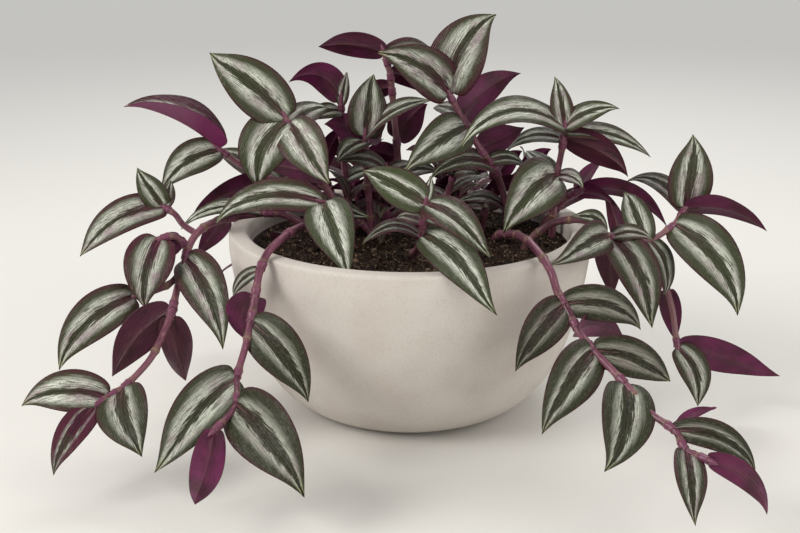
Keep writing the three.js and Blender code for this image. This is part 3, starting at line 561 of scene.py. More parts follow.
# Shoots, in the part's own numbers, but for one hanging leaf of trailer_far_left that is moved off the
# pot's rim. A route runs from the foot on the soil to the tip, and a branch starts on its shoot. A leaf row
# holds its place along the route, its reach from there to its tip (x, y, z), its width, its turn (0 faces
# the front, 90 the sky, more shows the underside), its arch and bow as parts of its length, and the fold of
# its halves in degrees where it isn't the plain one.
shoots = {
    "shoot_upper_left": {
        "route": [[-52, 12, 103], [-67, 12, 124], [-87, 8, 139], [-103, 2, 150], [-115, 0, 160]],
        "leaves": [[4, -53, -12, 29, 38, 80, 0.08, 0, 46], [3.9, -34, -16, -21, 22, 10, 0.1, 0.1]],
    },
    "shoot_top_left": {
        "route": [[-37, 0, 103], [-45, -3, 126], [-55, -8, 145], [-65, -13, 163], [-73, -17, 182]],
        "leaves": [
            [4, -45, 5, 36, 30, 0, 0.1, 0.04], [3.9, -17, -13, -38, 31, 5, 0.14, 0.12],
            [3.8, 24, -26, -31, 27, 0, 0.12, 0.02], [3.7, 22, 24, 7, 18, 30, 0.1, 0.05],
            [2, -40, 33, 0, 15, 150, 0.06, 0],
        ],
    },
    "shoot_back_left": {
        "route": [[-37, 32, 103], [-40, 30, 134], [-42, 27, 160], [-42, 24, 185]],
        "leaves": [
            [3, -31, -10, 14, 19, 150, 0.14, 0.22], [2.9, 4, 0, 20, 9, 20, 0.05, 0],
            [2.7, -22, -19, -2, 13, 30, 0.15, 0], [2.2, -10, 8, -27, 13, 150, 0.12, 0.05],
            [1, 22, 0, 5, 13, 40, 0.12, 0.05],
        ],
    },
    "shoot_back_top": {
        "route": [[-5, 44, 103], [-7, 42, 141], [-10, 38, 177], [-12, 35, 199], [-16, 34, 213]],
        "leaves": [
            [4, -40, -8, 4, 17, 145, 0.1, 0.04], [3.8, 34, 16, -4, 18, 20, 0.15, 0.05],
            [1.45, 19, 4, 22, 21, 165, 0.08, 0.04], [3.1, 21, 7, -14, 14, 150, 0.12, 0.05],
            [2.6, -21, 8, -12, 13, 150, 0.12, 0.05], [1.1, -23, -6, 5, 15, 150, 0.12, 0.05],
            [0.8, 25, -4, 4, 15, 40, 0.12, 0.05],
        ],
    },
    "shoot_middle": {
        "route": [[-23, 12, 103], [-26, 10, 137], [-27, 8, 156], [-27, 7, 166]],
        "leaves": [
            [3, 4, 7, 37, 24, 0, 0.06, 0], [2.9, 40, -13, 25, 18, 50, 0.1, 0.06],
            [2.6, 6, 33, 35, 24, 160, 0.1, 0], [2.8, -25, 12, 8, 20, 160, 0.1, 0.06],
            [2.6, -17, -15, -9, 16, 40, 0.14, 0],
        ],
    },
    "shoot_top_right": {
        "route": [[61, 12, 103], [59, 9, 123], [53, 5, 143], [42, 0, 160], [31, -4, 179], [22, -8, 196]],
        "leaves": [
            [5, 27, 6, 45, 33, 0, 0.1, 0.1], [4.9, -41, -18, 28, 27, 0, 0.1, 0.08],
            [3.7, -38, -41, -16, 26, 0, 0.12, 0.02], [4, 35, 22, 25, 22, 150, 0.1, 0.04],
            [4.1, -16, 18, 2, 14, 40, 0.1, 0], [3, 28, 16, 9, 19, 165, 0.08, 0],
            [2.2, -40, -26, 1, 17, 30, 0.16, 0.08], [2.5, 24, 12, -7, 11, 30, 0.12, 0.1],
            [0.8, -32, -20, 10, 12, 40, 0.12, 0.1],
        ],
    },
    "shoot_right": {
        "route": [[89, 16, 103], [89, 12, 130], [90, 9, 142], [92, 6, 157], [93, 3, 172]],
        "leaves": [
            [4, -65, -35, -3, 21, 30, 0.14, 0.14], [4, -6, 1, 31, 14, 0, 0.04, 0],
            [4, 31, -7, 14, 14, 15, 0.1, 0.08], [3.9, -33, 21, 12, 13, 50, 0.14, 0.05],
            [3.8, 55, 6, -17, 15, 40, 0.1, 0.06], [3.6, 38, -18, -19, 21, 140, 0.1, 0.02],
            [3.5, -34, 20, -13, 14, 50, 0.16, 0.05], [2, -36, -43, -24, 33, 0, 0.12, 0.06],
            [1.9, 15, -13, -4, 12, 30, 0.12, 0.1], [1.5, -17, 24, 15, 15, 20, 0.1, 0],
        ],
    },
    "shoot_right_low": {
        "route": [[84, 30, 103], [92, 28, 115], [99, 24, 124], [108, 20, 130]],
        "leaves": [
            [3, 50, -18, -20, 15, 130, 0.12, 0.14], [2.6, 19, 18, 18, 12, 150, 0.1, 0],
            [2.5, 20, -22, -2, 11, 140, 0.1, 0.1], [1.3, 24, 8, 6, 12, 150, 0.12, 0.05],
        ],
    },
    "shoot_far_right": {
        "route": [
            [70, -12, 103], [81, -16, 115], [91, -18, 120], [105, -20, 120], [118, -24, 112],
            [141, -20, 108], [158, -12, 115], [167, -4, 124],
        ],
        "leaves": [
            [7, 5, 8, 44, 27, 0, 0.06, 0], [7, 46, -18, -10, 18, 125, 0.1, 0.08],
            [6.1, 35, -35, -45, 31, 0, 0.12, 0.09], [6.9, -30, 35, 11, 13, 20, 0.12, 0.12],
            [5, -9, 28, 24, 18, 0, 0.08, 0], [4, -40, -64, -1, 21, 0, 0.1, 0.04],
            [4.1, 19, -34, -46, 25, 0, 0.1, 0.1], [5.1, 10, -9, -32, 16, 35, 0.12, 0.08],
            [3.9, 9, 20, -47, 17, 165, 0.1, 0], [4.1, 23, -8, 1, 11, 20, 0.12, 0.1],
            [3.9, -23, -16, 15, 12, 30, 0.16, 0.1], [4.3, -5, 37, 22, 11, 150, 0.1, 0],
        ],
        "branches": [{
            "route": [[141, -20, 108], [150, -22, 90], [157, -28, 70], [160, -38, 47]],
            "leaves": [
                [3, 10, -16, -32, 19, 5, 0.1, 0.13], [3, 61, -4, -18, 22, 155, 0.08, -0.01],
                [1.6, 7, 0, -33, 13, 165, 0.12, 0],
            ],
        }],
    },
    "trailer_front_right": {
        "route": [
            [53, 5, 103], [57, -19, 112], [64, -56, 120], [71, -82, 118], [76, -98, 112], [79, -103, 103],
            [83, -106, 96], [89, -118, 86], [96, -132, 79], [110, -152, 68], [120, -168, 59],
            [131, -180, 54], [135, -190, 48], [144, -200, 47],
        ],
        "leaves": [
            [6, -29, -28, -27, 22, 0, 0.1, 0.04], [6, 43, 2, -14, 20, 10, 0.12, 0.12],
            [8, -31, -38, -30, 26, 0, 0.1, 0.04], [8, 41, -2, -18, 21, 5, 0.12, 0.09],
            [9, -14, -44, -29, 28, 0, 0.08, -0.06], [11, 40, -10, -18, 15, 5, 0.12, 0.15],
            [11, 23, 12, 7, 8, 150, 0.1, 0.05], [12, -4, -42, -19, 16, 0, 0.06, 0],
            [13, 25, -22, -17, 13, 150, 0.1, 0.1], [7, 31, 30, -16, 17, 155, 0.1, 0.05],
        ],
    },
    "shoot_front": {
        "route": [[1, -33, 103], [3, -52, 110], [6, -72, 123], [7, -84, 136], [8, -90, 148]],
        "leaves": [
            [2.3, 37, -48, -32, 24, 0, 0.14, 0.08], [4, 33, -28, -23, 19, 15, 0.16, 0.05],
            [4, -34, 6, 18, 21, 0, 0.08, 0.02], [4, 3, 2, 15, 7, 0, 0.03, 0],
            [2.1, -33, -11, -1, 11, 40, 0.2, 0.14], [3, -16, 14, -2, 9, 30, 0.15, 0.05],
            [3.3, 13, 6, -6, 9, 20, 0.15, 0],
        ],
    },
    "shoot_inner_right": {
        "route": [[24, 20, 103], [23, 15, 124], [27, 10, 142]],
        "leaves": [
            [2, 15, -17, 4, 13, 30, 0.14, 0.05], [2, -18, -14, 12, 13, 30, 0.14, 0.05],
            [1.3, 26, 6, 8, 14, 60, 0.12, 0.05], [1, -24, 2, 4, 14, 50, 0.12, 0.08],
        ],
    },
    "shoot_inner": {
        "route": [[-14, 20, 103], [-18, 14, 125], [-15, 8, 145]],
        "leaves": [
            [2, -29, -12, 8, 14, 30, 0.15, 0.05], [1.6, 23, 10, 8, 13, 30, 0.15, 0.05],
            [1.2, 9, -31, 13, 10, 150, 0.1, 0],
        ],
    },
    "shoot_front_left": {
        "route": [[-35, -14, 103], [-38, -24, 122], [-43, -32, 131], [-51, -38, 136]],
        "leaves": [
            [3, -64, 4, -12, 21, 20, 0.12, 0.1], [2.9, 17, -48, -31, 28, 0, 0.16, 0],
            [2, 19, -18, -1, 12, 0, 0.2, 0],
        ],
    },
    "trailer_front_left": {
        "route": [
            [-44, -22, 103], [-52, -28, 118], [-64, -50, 124], [-78, -72, 118], [-83, -84, 110],
            [-85, -94, 100], [-87, -106, 86], [-89, -118, 76], [-92, -136, 65], [-91, -152, 57],
            [-95, -162, 53], [-100, -170, 50],
        ],
        "leaves": [
            [6, 33, -22, -37, 26, 0, 0.1, 0.07], [5.2, -7, 10, -29, 21, 165, 0.08, 0.12],
            [4.1, -16, 3, -17, 9, 30, 0.12, 0.08], [8, -35, -48, -33, 27, 0, 0.1, 0.06],
            [9, 39, -48, -28, 32, 0, 0.08, 0.05], [11, -6, -44, -20, 17, 165, 0.08, -0.05],
            [2.4, -10, 13, -7, 12, 100, 0.1, 0],
        ],
    },
    "trailer_far_left": {
        "route": [
            [-54, 0, 103], [-76, -4, 120], [-97, -8, 121], [-117, -18, 119], [-126, -30, 115],
            [-130, -42, 108], [-131, -52, 101], [-133, -66, 92], [-135, -80, 81], [-139, -94, 71],
            [-143, -104, 64], [-150, -112, 57], [-156, -120, 53], [-163, -126, 50], [-169, -130, 47],
        ],
        "leaves": [
            [5.5, 28, -51, -36, 26, 0, 0.1, 0.07], [7.8, -32, -15, -35, 23, 160, 0.08, 0.08],
            [8.1, 9, -13, -33, 20, 165, 0.08, -0.04], [13, -45, -6, -1, 23, 10, 0.1, 0.1],
            [14, -17, -34, -24, 17, 10, 0.08, 0.03], [12, 17, -38, -22, 29, 0, 0.1, -0.04],
            [2.6, -20, 4, -25, 13, 165, 0.1, 0], [1.6, -48, -18, -4, 11, 30, 0.15, 0.08],
        ],
        "branches": [
            {
                "route": [[-131, -52, 101], [-137, -58, 94], [-146, -62, 90], [-158, -64, 87]],
                "leaves": [[3, -40, -28, -33, 25, 0, 0.12, 0.1]],
            },
            {
                "route": [[-126, -30, 115], [-134, -28, 120], [-139, -26, 126], [-146, -24, 130]],
                "leaves": [
                    [3, -46, -20, -26, 22, 15, 0.12, 0.1], [3, -14, -4, 24, 16, 0, 0.05, 0],
                    [2.9, 4, 6, 15, 10, 0, 0.05, 0],
                ],
            },
            {
                "route": [[-130, -42, 108], [-133, -46, 116], [-138, -50, 119], [-144, -52, 118]],
                "leaves": [[3, -7, -24, -34, 28, 0, 0.1, 0.05], [1, -14, -12, -9, 14, 160, 0.1, 0.05]],
            },
        ],
    },
    "shoot_left_inner": {
        "route": [[-60, 30, 103], [-71, 28, 124], [-88, 24, 137]],
        "leaves": [[2, -47, -18, -19, 16, 140, 0.06, 0], [1.5, -46, 34, 16, 18, 20, 0.1, 0]],
    },
}

# Shoots at the back, by the part's own rule: foot on the soil and heading in degrees, and for a trailer the
# steps it hangs and its swerve in degrees a step
rearTrailers = [[34, 52, 57, 5, -2], [14, 60, 75, 6, -1.5], [-7, 62, 95, 4, 1.5], [-27, 57, 114, 6, -1.5],
                [-44, 46, 131, 5, 2]]
rearHang = [(82, 121), (108, 121), (126, 106), (137, 84), (144, 60), (150, 38)]  # radius and height
rearUprights = [[46, 30, 30], [16, 34, 70], [-22, 40, 110], [66, 44, 35]]
rearSeed = 43

# Low side stems at the feet of some shoots, by the part's own rule: lean in degrees, height and seed
lowStems = {
    "shoot_inner_right": (-60, 27, 12630), "shoot_inner": (-90, 27, 10739),
    "shoot_middle": (180, 27, 13240), "shoot_rear_2": (20, 42, 10068),
    "shoot_rear_3": (180, 27, 12142), "shoot_rear_4": (0, 27, 20255),
}

leafShape = {
    "rows": 26,
    "columns": [0, 0.06, 0.18, 0.34, 0.52, 0.7, 0.86, 0.965, 1],  # one half, from midrib to margin
    "rowSpread": 1.3,  # brings the rows closer together towards the stem
    "thickness": 0.5, "fullness": 1.06, "fold": 17, "leastHalf": 0.9,
    "keel": 0.45, "keelHalf": 0.7,  # how far the midrib stands out below, and half its width
    # How far the shoulders reach back past the stem and how far along they are, as parts of the length
    "lobe": 0.055, "lobePlace": 0.08,
    "wave": 0.55, "waveWidth": 26,  # height of the margin's waves on a leaf that wide
    "twist": 9,  # most degrees that a leaf twists from stem to tip
    "hook": (0.03, 0.024),  # how far the drawn-out tip bends aside and down, as parts of the length
}
stemShape = {
    "foot": 2.6, "tip": 1.7, "branchFoot": 2.1, "sides": 14, "step": 2, "buried": 94,
    "nodeSwelling": 0.5, "swellingReach": 1.9, "nodeSpacing": 24, "nodesApart": 4, "ringsApart": 13,
    "sheathLength": 5.5, "hairs": 9, "hairLength": 1.5, "hairRadius": 0.07,
    "bareFoot": 9, "bareBranch": 3, "bareEnd": 8,  # lengths at a stem's ends with no node
    # Steps ahead of the end with parts of the tip's radius, steps along an old ring, and steps along a
    # sheath in parts of its length, the last two with how far they stand out from the stem
    "tipSteps": [(1.2, 0.94), (2.6, 0.76), (4.2, 0.46), (5.6, 0.12)],
    "collarSteps": [(-0.7, -0.3), (-0.5, 0.02), (0, 0.16), (0.7, 0.18), (1, 0.04), (1.1, -0.3)],
    "sheathSteps": [(-0.3, -0.3), (0, 0.12), (0.06, 0.34), (0.3, 0.42), (0.6, 0.48), (0.85, 0.56),
                    (1, 0.66), (1.02, 0.4), (0.97, -0.3)],
}
routeFoot = 103  # height where a shoot's own route starts, just above the soil
routeSamples = 24  # samples from one point of a route to the next

# How pale the greens, how strong the purple and how much wider the silver bands are, shoot by shoot
shootLooks = {
    "shoot_upper_left": (0.6, 0.9, 0.04), "shoot_top_left": (0.62, 0.8, 0.06),
    "shoot_back_left": (0.3, 0.85, 0.04), "shoot_back_top": (0.16, 0.9, 0.01),
    "trailer_far_left": (0.7, 0.8, 0.05), "trailer_front_left": (0.14, 0.62, 0),
    "trailer_front_right": (0.07, 0.58, -0.02), "shoot_far_right": (0.42, 0.7, 0),
    "shoot_front": (0.55, 0.55, 0), "shoot_front_left": (0.66, 0.65, -0.01),
    "shoot_right": (0.6, 0.9, 0.06), "shoot_top_right": (0.5, 0.85, -0.01),
    # The inner shoots are given little pallor and much purple: painted shade
    "shoot_inner": (0.03, 1.15, -0.04), "shoot_inner_right": (0.03, 1.15, -0.04),
    "shoot_left_inner": (0.03, 1.15, -0.04), "shoot_middle": (0.3, 0.95, 0.02), "rest": (0.26, 0.85, 0.01),
}

# Single leaves that differ, by stem (0 is the shoot's own) and row, with pallor, purple and band width
leafLooks = {
    "trailer_far_left": {
        (0, 4): (0.6, 2.2, -0.05), (0, 5): (0.35, 0.7, -0.04), (0, 0): (0.42, 0.95, 0.02),
        (0, 1): (0.3, 0.4, 0), (0, 2): (0.3, 0.35, 0), (3, 0): (0.34, 1.15, -0.01),
    },
    "shoot_upper_left": {(0, 0): (0.9, 2.2, -0.03)},
    "trailer_front_left": {
        (0, 0): (0.12, 0.45, 0), (0, 5): (0.2, 0.95, 0), (0, 1): (0.2, 1.05, 0),
        (0, 3): (0.4, 0.55, 0.07), (0, 4): (0.12, 0.55, -0.08),
    },
    "trailer_front_right": {(0, 6): (0.2, 1.2, 0), (0, 8): (0.2, 0.85, 0), (0, 9): (0.2, 1, 0)},
    "shoot_front": {
        (0, 1): (0.4, 0.9, 0), (0, 2): (0.9, 0.5, 0), (0, 4): (0.12, 1.25, -0.05),
        (0, 5): (0.08, 1.25, -0.05),
    },
    "shoot_top_right": {(0, 6): (0.08, 1.05, -0.04), (0, 8): (0.06, 1.25, -0.05)},
    # Row 7 of shoot_right is paler to make up for the shade that falls on it: painted light
    "shoot_right": {(0, 7): (0.9, 0.8, 0.07), (0, 5): (0.3, 0.35, 0)},
    "shoot_top_left": {(0, 0): (0.62, 0.65, 0.09)},
}


def bladeShare(t):
    # Half width along the leaf as part of its greatest, widest at a third and drawn out to the tip
    rise, fall = 0.52, 0.92
    peak = rise / (rise + fall)
    return t ** rise * (1 - t) ** fall / (peak ** rise * (1 - peak) ** fall) * (1 - 0.4 * t ** 7)


def addLeaf(drawing, root, row, heading, traits, draw):
    g = leafShape
    reach = Vector(row[1:4])
    width, turn, arch, bow = row[4:8]
    fold = row[8] if len(row) > 8 else g["fold"]
    length = reach.length
    alongAxis = reach.normalized()
    # The leaf faces where its shoot is headed and a little up, and turns from there
    outlook = Vector((math.cos(math.radians(heading)), math.sin(math.radians(heading)), 0.3))
    face = (outlook - alongAxis * outlook.dot(alongAxis)).normalized()
    sky = Vector((0, 0, 1)) - alongAxis * alongAxis.z
    turnSign = 1 if face.cross(sky).dot(alongAxis) >= 0 else -1
    face.rotate(Quaternion(alongAxis, math.radians(turnSign * turn)))
    side = face.cross(alongAxis)
    if side.z < 0:
        side.negate()
    bend = (face * arch + side * bow) * length
    columns = [-a for a in g["columns"][:0:-1]] + g["columns"]
    rows = g["rows"]
    lobes = [g["lobe"] * (1 + 0.45 * next(draw)) for _ in range(2)]
    waves = [(1.3 + 0.6 * next(draw), 3 * next(draw)) for _ in range(2)]
    twist = math.radians(g["twist"] * next(draw))
    seed = 7 + 40 * (1 + next(draw))  # moves the textures, so that no two leaves are alike
    tone, purple, band = traits
    look = (tone, purple, band + 0.07 * next(draw))
    aside, down = g["hook"]
    hook = (side * math.copysign(aside, twist) - face * down) * length
    folded = fold > 30
    top, under = [], []
    for i in range(rows):
        t = (i / rows) ** g["rowSpread"]
        tangent = (reach + bend * 4 * (1 - 2 * t)).normalized()
        up = (face - tangent * face.dot(tangent)).normalized()
        up.rotate(Quaternion(tangent, twist * t))
        out = up.cross(tangent)
        if out.dot(side) < 0:
            out.negate()
        half = max(g["fullness"] * width / 2 * bladeShare(t), g["leastHalf"])
        sine, cosine = math.sin(math.radians(fold)), math.cos(math.radians(fold))
        sweep = t / g["lobePlace"] * math.exp(1 - t / g["lobePlace"])
        topRow, underRow = [], []
        for a in columns:
            b = abs(a)
            hand = 0 if a < 0 else 1
            back = t - lobes[hand] * b * b * sweep
            lift = half * sine * (b - 0.1 * b * b if folded else 1.3 * b - 0.8 * b * b)
            cycles, phase = waves[hand]
            wave = g["wave"] * width / g["waveWidth"] * b * b * math.sin(2 * math.pi * cycles * t + phase)
            wave *= math.sqrt(max(4 * t * (1 - t), 0))
            middle = root + reach * back + bend * 4 * back * (1 - back) + hook * max(5 * t - 4, 0) ** 2
            point = middle + out * (a * half * cosine) + up * (lift + wave)
            thick = g["thickness"] / 2 * math.sqrt(max(1 - b * b, 0)) * (1 - 0.6 * t)
            keel = g["keel"] * math.exp(-(a * half / g["keelHalf"]) ** 2) * (1 - t)
            blade = (a, t, seed)
            grain = (a * half, t * length, seed)
            topRow.append(addPoint(drawing, point + up * thick, blade, grain, look))
            atMargin = b > 0.999
            underRow.append(topRow[-1] if atMargin else
                            addPoint(drawing, point - up * (thick + keel), blade, grain, look))
        top.append(topRow)
        under.append(underRow)
    tip = addPoint(drawing, root + reach + hook, (0, 1, seed), (0, length, seed), look)
    turned = out.cross(tangent).dot(up) < 0
    for j in range(len(columns) - 1):
        for i in range(rows - 1):
            addFace(drawing, [top[i][j], top[i][j + 1], top[i + 1][j + 1], top[i + 1][j]], 0, turned)
            corners = [under[i][j], under[i + 1][j], under[i + 1][j + 1], under[i][j + 1]]
            addFace(drawing, corners, 1, turned)
        addFace(drawing, [top[-1][j], top[-1][j + 1], tip], 0, turned)
        addFace(drawing, [under[-1][j + 1], under[-1][j], tip], 1, turned)
        addFace(drawing, [top[0][j + 1], top[0][j], under[0][j], under[0][j + 1]], 1, turned)


def measure(points):
    # Places along a route with their distance from its start
    marks = [(0, 0, points[0])]
    for k in range(1, (len(points) - 1) * routeSamples + 1):
        place = k / routeSamples
        point = pointAt(points, place)
        marks.append((place, marks[-1][1] + (point - marks[-1][2]).length, point))
    return marks


def atDistance(marks, distance):
    # Place, point and direction at a distance along a measured route, straight on past its ends
    last = len(marks) - 1
    k = 1
    while k < last and marks[k][1] < distance:
        k += 1
    low, high = marks[k - 1], marks[k]
    share = (distance - low[1]) / (high[1] - low[1])
    place = low[0] + (high[0] - low[0]) * share
    return place, low[2].lerp(high[2], share), (high[2] - low[2]).normalized()


def addTube(drawing, rings, sides, look, seed):
    # Closed tube from rings of (centre, direction, radius, distance, node mark, sheath mark, slant)
    across = Vector((1, 0.2, 0.1))  # any direction that no stem has
    loops = []
    for centre, direction, radius, distance, nodeMark, sheathMark, slant in rings:
        across = (across - direction * across.dot(direction)).normalized()
        other = direction.cross(across)
        loop = []
        for j in range(sides):
            angle = 2 * math.pi * j / sides
            radial = across * math.cos(angle) + other * math.sin(angle)
            shift = direction * (radial.dot(slant) if slant else 0)
            grain = (radius * math.cos(angle) + seed, radius * math.sin(angle), distance)
            loop.append(addPoint(drawing, centre + radial * radius + shift,
                                 (nodeMark, sheathMark, seed), grain, look))
        loops.append(loop)
    joinRings(drawing, loops, sides, 2)
    addFace(drawing, loops[0][::-1], 2)
    addFace(drawing, loops[-1], 2)


def addHair(drawing, base, direction, size, seed):
    # Hair of the sheath's rim, as a thin spike
    side = direction.orthogonal().normalized() * stemShape["hairRadius"]
    third = direction.cross(side).normalized() * stemShape["hairRadius"]
    look = (0, 0, 1)
    corners = [side, third - side * 0.5, -third - side * 0.5]
    ring = [addPoint(drawing, base + c, (0, 0, seed), tuple(c), look) for c in corners]
    tip = addPoint(drawing, base + direction * size, (0, 0, seed), (0, 0, size), look)
    for a, b in ((0, 1), (1, 2), (2, 0)):
        addFace(drawing, [ring[a], ring[b], tip], 2)
    addFace(drawing, ring[::-1], 2)


def addStem(drawing, points, leaves, footRadius, buried, tone, draw):
    s = stemShape
    marks = measure(points)
    total = marks[-1][1]
    last = len(points) - 1
    start = s["bareFoot" if buried else "bareBranch"]
    # One node just below each leaf, or below two that stand together
    nodes = []
    for place, reach in sorted(leaves, key=lambda leaf: leaf[0]):
        distance = marks[min(round(place * routeSamples), len(marks) - 1)][1]
        length = s["sheathLength"] * min(1, 0.55 + reach.length / 90)
        if distance - length > start and (not nodes or distance - nodes[-1][0] > s["nodesApart"]):
            nodes.append((distance, length, reach.normalized()))
    # Older nodes have lost their leaves and keep a ring
    rings = []
    distance = start + s["nodeSpacing"] * 0.5
    while distance < total - s["bareEnd"]:
        if all(abs(distance - d + l) > s["ringsApart"] for d, l, _ in nodes):
            rings.append(distance)
        distance += s["nodeSpacing"] * (1 + 0.15 * next(draw))
    seed = 7 + 40 * (1 + next(draw))
    look = (max(0, min(1, tone + 0.35 * next(draw))), 0, 0)
    swellings = [d - l for d, l, _ in nodes] + rings

    def radiusAt(distance):
        place = atDistance(marks, distance)[0]
        base = footRadius + (s["tip"] - footRadius) * min(place / last, 1)
        near = sum(math.exp(-((distance - d) / s["swellingReach"]) ** 2) for d in swellings)
        return base * 0.97 + s["nodeSwelling"] * min(near, 1), min(near, 1)

    tube = []
    count = max(4, round(total / s["step"]))
    for k in range(count + 1):
        distance = total * k / count
        _, centre, direction = atDistance(marks, distance)
        radius, near = radiusAt(distance)
        tube.append((centre, direction, radius, distance, near ** 2, 0, None))
    # The growing tip is a slim rolled leaf
    _, end, ahead = atDistance(marks, total)
    for step, share in s["tipSteps"]:
        tube.append((end + ahead * step, ahead, s["tip"] * share, total + step, 0, 0.8, None))
    addTube(drawing, tube, s["sides"], look, seed)

    def ringAt(distance, proud, nodeMark, sheathMark, slant=None):
        # A ring round the stem that stands so far out from it
        _, centre, direction = atDistance(marks, distance)
        radius = radiusAt(distance)[0] * 0.99 + proud
        return centre, direction, radius, distance, nodeMark, sheathMark, slant

    for distance in rings:
        collar = [ringAt(distance + step, proud, 1, 0.15) for step, proud in s["collarSteps"]]
        addTube(drawing, collar, s["sides"], look, seed + distance)

    for distance, length, leafDirection in nodes:
        sleeve = []
        for share, proud in s["sheathSteps"]:
            slant = leafDirection * (1.1 * share) if share > 0 else None
            here = distance - length + share * length
            sleeve.append(ringAt(here, proud, 0, 1 if share > 0.03 else 0.4, slant))
        addTube(drawing, sleeve, s["sides"], look, seed + distance)
        _, centre, direction = atDistance(marks, distance)
        across = direction.orthogonal().normalized()
        rim = radiusAt(distance)[0] + 0.5
        for j in range(s["hairs"]):
            radial = across.copy()
            radial.rotate(Quaternion(direction, 2 * math.pi * (j + 0.3 * next(draw)) / s["hairs"]))
            lean = (direction * (0.9 + 0.3 * next(draw)) + radial * (0.5 + 0.3 * next(draw))).normalized()
            base = centre + radial * (rim - 0.1) + direction * radial.dot(leafDirection)
            addHair(drawing, base, lean, s["hairLength"] + 0.5 * next(draw), seed)


def addShoot(name, shoot, draw):
    drawing = newDrawing()
    tone, purple, wider = shootLooks.get(name, shootLooks["rest"])
    heading = shoot.get("heading", -90)
    foot = shoot["route"][0]
    main = [Vector((foot[0], foot[1], stemShape["buried"]))] + [Vector(p) for p in shoot["route"]]
    # Rear shoots and low side stems are painted in shade
    parts = [(main, shoot["leaves"], stemShape["foot"], 1, name.startswith("shoot_rear"))]
    for branch in shoot.get("branches", []):
        points = [Vector(p) for p in branch["route"]]
        parts.append((points, branch["leaves"], stemShape["branchFoot"], 0, branch.get("shaded", False)))
    for stem, (points, leaves, footRadius, buried, shaded) in enumerate(parts):
        places = [(row[0] + buried, Vector(row[1:4])) for row in leaves]
        addStem(drawing, points, places, footRadius, buried, 0.4 + 0.5 * tone, draw)
        for number, row in enumerate(leaves):
            # Leaves low in the plant are painted in shade: duller, more purple and less silver
            leafTone = -0.16 if shaded else max(0, min(1, tone + 0.22 * next(draw)))
            leafPurple = max(0.1, min(1, purple + 0.35 * next(draw))) + (0.4 if shaded else 0)
            traits = (leafTone, leafPurple, -0.07 if shaded else wider)
            traits = leafLooks.get(name, {}).get((stem, number), traits)
            addLeaf(drawing, pointAt(points, row[0] + buried), row, heading, traits, draw)
    makePiece(name + "_grown", drawing, [leafUpper, leafUnder, stemSkin], [name])
    return len(drawing["faces"])


def leafRow(place, swing, rise, length, *rest):
    # A leaf row from its heading and its rise in radians
    flat = length * math.cos(rise)
    return [place, flat * math.cos(swing), flat * math.sin(swing), length * math.sin(rise), *rest]


def rearLeaves(heading, places, lengths, rises, draw):
    # Leaf rows in two ranks, alternately left and right of the heading
    rows = []
    for i, place in enumerate(places):
        toSide = 1 if i % 2 == 0 else -1
        share = i / (len(places) - 1)
        swing = math.radians(heading + toSide * (50 + 14 * next(draw)))
        rise = math.radians(rises[0] + (rises[1] - rises[0]) * share + 5 * next(draw))
        length = lengths[0] + (lengths[1] - lengths[0]) * share + 4 * next(draw)
        rows.append(leafRow(place, swing, rise, length, 0.5 * length, 35, 0.12, 0.05))
    return rows


def rearShoots():
    draw = makeDraw(rearSeed)
    made = {}
    for i, (x, y, heading, steps, swerve) in enumerate(rearTrailers):
        route = [[x, y, routeFoot]]
        for k, (radius, z) in enumerate(rearHang[:steps]):
            angle = math.radians(heading + swerve * k)
            route.append([radius * math.cos(angle), radius * math.sin(angle), z])
        places = [place for place in (1, 2.4, 3.2, 4, 4.9) if place < steps - 0.5]
        leaves = rearLeaves(heading, places + [steps - 0.1, steps], [40, 30], [18, -48], draw)
        made[f"trailer_rear_{i + 1}"] = {"heading": heading, "route": route, "leaves": leaves}
    for i, (x, y, heading) in enumerate(rearUprights):
        dx, dy = math.cos(math.radians(heading)), math.sin(math.radians(heading))
        made[f"shoot_rear_{i + 1}"] = {
            "heading": heading,
            "route": [[x, y, routeFoot], [x + 3 * dx, y + 3 * dy, 118], [x + 9 * dx, y + 9 * dy, 132]],
            "leaves": rearLeaves(heading, [0.8, 1.4, 1.9, 2], [34, 26], [8, 50], draw),
        }
    return made


def lowStem(foot, lean, tall, seed):
    x, y = foot[0], foot[1]
    draw = makeDraw(seed)
    height = tall + 7 * next(draw)
    spread = 15 + 4 * next(draw)
    dx, dy = spread * math.cos(math.radians(lean)), spread * math.sin(math.radians(lean))
    rows = []
    for i, place in enumerate((1.2, 1.8, 2.4, 2.9, 3)):
        swing = math.radians(lean + 180 * (i % 2) + 60 * next(draw))
        rise = math.radians(14 * i - 10 + 12 * next(draw))
        length = 31 - 2 * i + 2 * next(draw)
        turn = 40 + 25 * next(draw)
        rows.append(leafRow(place, swing, rise, length, 0.47 * length, turn, 0.14, 0.05))
    steps = ((0, 0), (0.35, 0.3), (0.8, 0.65), (1, 1))
    route = [[x + out * dx, y + out * dy, routeFoot + up * height] for out, up in steps]
    # Its leaves get painted shade
    return {"route": route, "leaves": rows, "shaded": True}


everyShoot = {**shoots, **rearShoots()}
for name, low in lowStems.items():
    shoot = everyShoot[name]
    everyShoot[name] = {**shoot, "branches": [*shoot.get("branches", []), lowStem(shoot["route"][0], *low)]}
faceCount = 0
for name, shoot in everyShoot.items():
    faceCount += addShoot(name, shoot, makeDraw(1000 + 37 * len(name) + len(bpy.data.objects)))
print("shoots made with", faceCount, "faces")

# Camera where the photograph's stood, and soft studio light from the upper left
studio = {
    "lens": 62, "target": (-6, 0, 86), "distance": 850, "looksDown": 16.5,
    "floor": "#dfddd9", "surround": "#f2f1ee", "surroundStrength": 0.58,
    "floorSize": 12, "rampReach": 10,  # metres
    "floorFades": [0.5, 2.2],  # metres from the pot over which the floor turns into the surround
    "lights": [  # name, position in metres, size, power, colour
        ("key", (-1.35, -0.85, 1.15), 0.9, 24, "#fffdf8"),
        ("fill", (1.15, -0.95, 0.75), 1.3, 9.5, "#fffcf6"),
        ("back", (0.25, 1, 1.3), 1, 10, "#ffffff"),
    ],
}


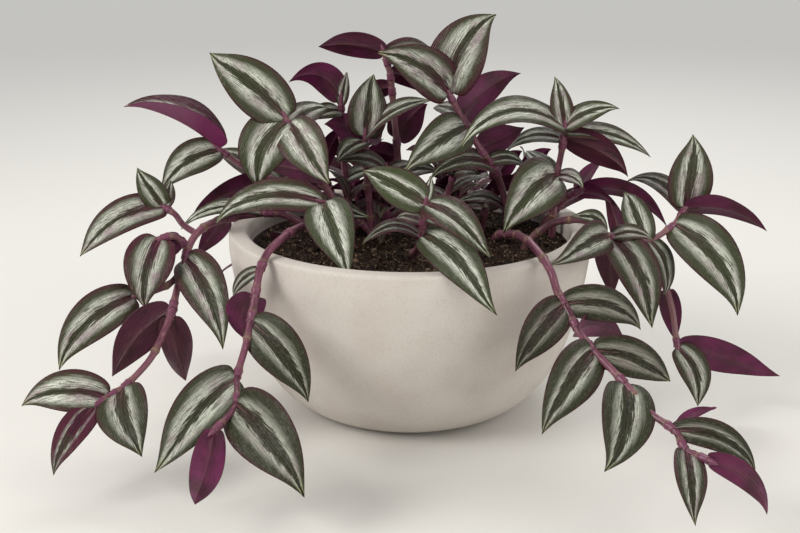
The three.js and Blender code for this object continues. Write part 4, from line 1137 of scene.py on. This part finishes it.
def makeStage():
    mesh = bpy.data.meshes.new("floor")
    size = studio["floorSize"]
    corners = [(-size, -size, 0), (size, -size, 0), (size, size, 0), (-size, size, 0)]
    mesh.from_pydata(corners, [], [(0, 1, 2, 3)])
    # Far from the pot the floor glows as much as the surround, so that no horizon shows
    sockets = {"Emission Color": studio["surround"], "Roughness": 0.9}
    material, add = newMaterial("floorPalePaper", sockets)
    away = add("VectorMath LENGTH", add("TexCoord", output=3), output=1)
    away = add("Math MULTIPLY", away, 1 / studio["rampReach"])
    stops = [(metres / studio["rampReach"], share) for metres, share in zip(studio["floorFades"], (0, 1))]
    far = add("ValToRGB", away, *stops)
    tree = material.node_tree
    shader = tree.nodes["Principled BSDF"]
    tree.links.new(paint(add, studio["floor"], (far, "#000000")), shader.inputs["Base Color"])
    glow = add("Math MULTIPLY", far, studio["surroundStrength"])
    tree.links.new(glow, shader.inputs["Emission Strength"])
    mesh.materials.append(material)
    newObject("floor", mesh)

    for name, place, size, power, colour in studio["lights"]:
        lamp = bpy.data.lights.new(name, "AREA")
        lamp.size = size
        lamp.energy = power
        lamp.color = linear(colour)[:3]
        light = newObject(name, lamp)
        light.location = place
        aim = Vector((0, 0, 0.1)) - Vector(place)
        light.rotation_euler = aim.to_track_quat("-Z", "Y").to_euler()

    world = bpy.data.worlds.new("studioSurround")
    world.use_nodes = True
    background = world.node_tree.nodes["Background"]
    background.inputs["Color"].default_value = linear(studio["surround"])
    background.inputs["Strength"].default_value = studio["surroundStrength"]
    bpy.context.scene.world = world
    bpy.context.scene.view_settings.view_transform = "Standard"

    camera = newObject("camera", bpy.data.cameras.new("camera"))
    down = math.radians(studio["looksDown"])
    target = Vector(studio["target"]) * mm
    away = Vector((0, -math.cos(down), math.sin(down)))
    camera.location = target + away * studio["distance"] * mm
    camera.rotation_euler = (-away).to_track_quat("-Z", "Y").to_euler()
    camera.data.lens = studio["lens"]
    camera.data.sensor_width = 36
    camera.data.clip_start = 0.01
    bpy.context.scene.camera = camera


makeStage()
print("stage, lights and camera made")
